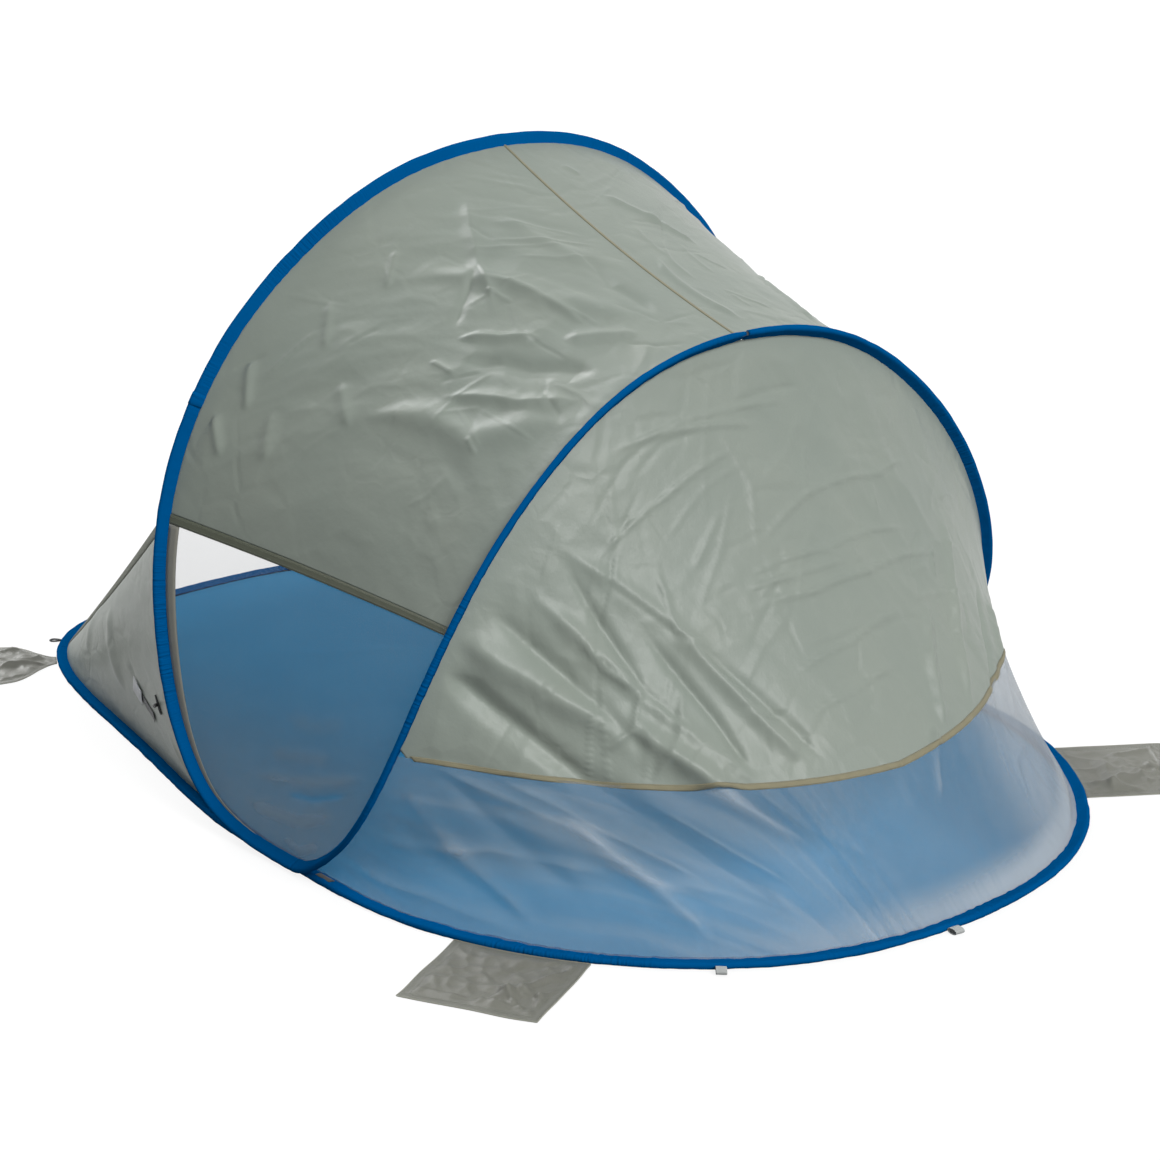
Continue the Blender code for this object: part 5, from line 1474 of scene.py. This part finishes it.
def buildTie():
    centre, long, wide, out = outOfWing("tie_loop")
    turns = np.linspace(0, math.tau, 56, endpoint=False)
    centre = centre + out * tie["lift"]
    line = [centre + long * tie["halfLength"] * math.cos(turn)
            + wide * tie["halfWidth"] * math.sin(turn) * (0.7 + 0.3 * math.cos(turn)) for turn in turns]
    piece = alongLines("tie_loop_cord", "cord", [line], "elastic",
                       {"Thickness": tie["cord"], "Step": tie["step"]}, closed=True)
    dress(piece, "elastic", "front_half", nodes=["tie_loop"])
    middle, (axis, first, second) = nodeFrame("tie_toggle")
    middle = middle + out * tie["lift"]
    profile = [(-along, radius) for along, radius in toggleHalf[::-1]] + toggleHalf
    turns = np.linspace(0, math.tau, 28, endpoint=False)
    spokes = [first * math.cos(turn) + second * math.sin(turn) for turn in turns]
    grid = np.array([[middle + axis * along * mm + spoke * radius * mm for spoke in spokes]
                     for along, radius in profile])
    barrel = newPiece("tie_toggle_barrel", grid, gridFaces(*grid.shape[:2], roundColumns=True),
                      finishes["toggle"])
    work = bmesh.new()
    work.from_mesh(barrel.data)
    bmesh.ops.holes_fill(work, edges=[edge for edge in work.edges if edge.is_boundary])
    work.to_mesh(barrel.data)
    work.free()
    dress(facesOut(barrel), "toggle", "front_half", nodes=["tie_toggle"])


tab = {"from": 42 * mm, "to": 78 * mm, "half": 5 * mm, "lift": 4.6 * mm, "crown": 0.9 * mm, "slope": 0.10,
       "thick": 1.0 * mm}


def buildFootTabs():
    lengths = np.linspace(tab["from"], tab["to"], 24)
    stations = np.interp(lengths, groundRear["along"], groundRear["stations"])
    over = np.linspace(-tab["half"], tab["half"], 10)
    lifts = tab["lift"] + tab["crown"] * np.cos(np.linspace(-1.2, 1.2, 10)) - tab["slope"] * (over + 7 * mm)
    grid = np.stack([onBand(groundRear, stations, a, b) for a, b in zip(over, lifts)], axis=1)
    for side in ("near", "far"):
        piece = clothPiece("foot_tab_" + side + "_web", onSide(grid, side), finishes["webbing"],
                           tab["thick"])
        dress(piece, "binding", "rear_half", nodes=["foot_tab_" + side])


rod = {"thick": 5.5 * mm, "step": 6 * mm, "end": 0.02}
rods = {
    "ground_rod_front": (groundFront, "front_half"),
    "ground_rod_rear": (groundRear, "rear_half"),
    "arch_rod_front": (archFront, "front_half"),
    "arch_rod_rear": (archRear, "rear_half"),
}


def buildRods():
    for node, (band, body) in rods.items():
        stations = stationsEvery(band, rod["end"], lastStation(band) - rod["end"], rod["step"])
        piece = alongLines(node + "_glass", "cord", [onBand(band, stations, sleeve["rodCentre"], 0)], "rod",
                           {"Thickness": rod["thick"], "Step": rod["step"]})
        dress(piece, "rod", body, nodes=[node])
    for node in ("ground_rod_ferrule", "arch_rod_ferrule"):
        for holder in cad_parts[node].material_slots:
            holder.material = finishes["ferrule"]


buildLabel()
buildTie()
buildFootTabs()
buildRods()
print("small parts made")


# Cloth pieces with the size that they were cut to, how they are held and the sleeves that hold them; the loop
# only looks each one up
cuts = {
    "canopy_near": ("stretched", (0.62, 0.87), ["arch_sleeve_front", "arch_sleeve_rear_near"]),
    "canopy_far": ("stretched", (0.62, 0.87), ["arch_sleeve_front", "arch_sleeve_rear_far"]),
    "side_mesh_near": ("stretched", (0.62, 0.62), ["arch_sleeve_front", "arch_sleeve_rear_near"]),
    "side_mesh_far": ("stretched", (0.62, 0.62), ["arch_sleeve_front", "arch_sleeve_rear_far"]),
    "front_wing_near": ("stretched", (1.12, 0.42), ["arch_sleeve_front", "ground_sleeve_front"]),
    "front_wing_far": ("stretched", (1.12, 0.42), ["arch_sleeve_front", "ground_sleeve_front"]),
    "rear_panel": ("stretched", (1.75, 0.70), ["arch_sleeve_rear_near", "arch_sleeve_rear_far"]),
    "rear_mesh": ("stretched", (2.30, 0.42), ["ground_sleeve_rear"]),
    "floor": ("laid", (2.02, 1.28), ["ground_sleeve_front", "ground_sleeve_rear"]),
}
for name, (held, flat, sleeves) in cuts.items():
    piece, grid = made[name]
print("cloth declared:", len(cuts))

# Stage, lamps and camera
stage = {"size": 60.0, "drop": -0.4 * mm, "cameraPlace": (3.1803, -2.5641, 1.5878), "down": 18.093,
         "turn": 49.82, "roll": -0.926, "lens": 80.69, "sensor": 36.0, "world": 0.28, "bounce": 0.14,
         "glow": 0.86, "lampWidth": 0.45}
# one soft lamp lights the back of the tent, and one the floor through its door: energy and direction
lamps = {"back": (2.5, (0.78, 0.00, 0.66)), "door": (1.95, (-0.77, 0.12, 0.63))}


def whiteToCamera(tree, lit, shown, surface):
    # what camera, glossy and transmission rays see is white; all other rays get the studio's light
    rays = addNode(tree, "ShaderNodeLightPath")
    seen = addNode(tree, "ShaderNodeMath", {"operation": "MAXIMUM"},
                   {0: rays.outputs["Is Camera Ray"], 1: rays.outputs["Is Glossy Ray"]})
    through = addNode(tree, "ShaderNodeMath", {"operation": "MAXIMUM"},
                      {0: seen, 1: rays.outputs["Is Transmission Ray"]})
    mix = addNode(tree, "ShaderNodeMixShader", None, {0: through, 1: lit, 2: shown})
    tree.links.new(mix.outputs["Shader"], surface)


def paleFloor():
    # A matt studio floor that takes the tent's shadow; it glows to white for the camera alone
    made, tree, shader = startMaterial("paleFloor")
    shader.inputs["Base Color"].default_value = (stage["bounce"],) * 3 + (1,)
    shader.inputs["Roughness"].default_value = 0.9
    glow = addNode(tree, "ShaderNodeEmission", {"Color": (1, 1, 1, 1), "Strength": stage["glow"]})
    both = addNode(tree, "ShaderNodeAddShader", None,
                   {0: shader.outputs["BSDF"], 1: glow.outputs["Emission"]})
    whiteToCamera(tree, shader.outputs["BSDF"], both.outputs["Shader"],
                  tree.nodes["Material Output"].inputs["Surface"])
    return made


def buildStage():
    corners = [(x * stage["size"], y * stage["size"], stage["drop"])
               for x, y in ((-1, -1), (1, -1), (1, 1), (-1, 1))]
    newPiece("studio_floor", corners, [(0, 1, 2, 3)], paleFloor())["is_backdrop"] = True
    world = bpy.data.worlds.new("studio")
    bpy.context.scene.world = world
    world.use_nodes = True
    tree = world.node_tree
    light = tree.nodes["Background"]
    light.inputs["Color"].default_value = linear("#F4F6F8")
    light.inputs["Strength"].default_value = stage["world"]
    shown = addNode(tree, "ShaderNodeBackground", {"Color": (1, 1, 1, 1), "Strength": 1.0})
    whiteToCamera(tree, light.outputs["Background"], shown.outputs["Background"],
                  tree.nodes["World Output"].inputs["Surface"])
    for name, (energy, place) in lamps.items():
        place = Vector(place)
        data = bpy.data.lights.new(name, "SUN")
        data.energy = energy
        data.angle = stage["lampWidth"]
        lamp = bpy.data.objects.new(name, data)
        lamp.location = 3 * place
        lamp.rotation_mode = "QUATERNION"
        lamp.rotation_quaternion = (-place).to_track_quat("-Z", "Y")
        bpy.context.scene.collection.objects.link(lamp)


def buildCamera():
    down, turn, roll = (math.radians(stage[key]) for key in ("down", "turn", "roll"))
    look = Vector((-math.sin(turn) * math.cos(down), math.cos(turn) * math.cos(down), -math.sin(down)))
    right = look.cross(Vector((0, 0, 1))).normalized()
    up = right.cross(look).normalized()
    turned = Matrix((right, up, -look)).transposed() @ Matrix.Rotation(roll, 3, "Z")
    data = bpy.data.cameras.new("photoCamera")
    data.lens = stage["lens"]
    data.sensor_width = stage["sensor"]
    data.clip_end = 200
    camera = bpy.data.objects.new("photoCamera", data)
    camera.matrix_world = Matrix.Translation(stage["cameraPlace"]) @ turned.to_4x4()
    bpy.context.scene.collection.objects.link(camera)
    bpy.context.scene.camera = camera


buildStage()
buildCamera()
bpy.context.scene.view_settings.view_transform = "Standard"
print("stage made")

total = 0
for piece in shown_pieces():
    piece.data.calc_loop_triangles()
    total += len(piece.data.loop_triangles)
print("triangles:", total)
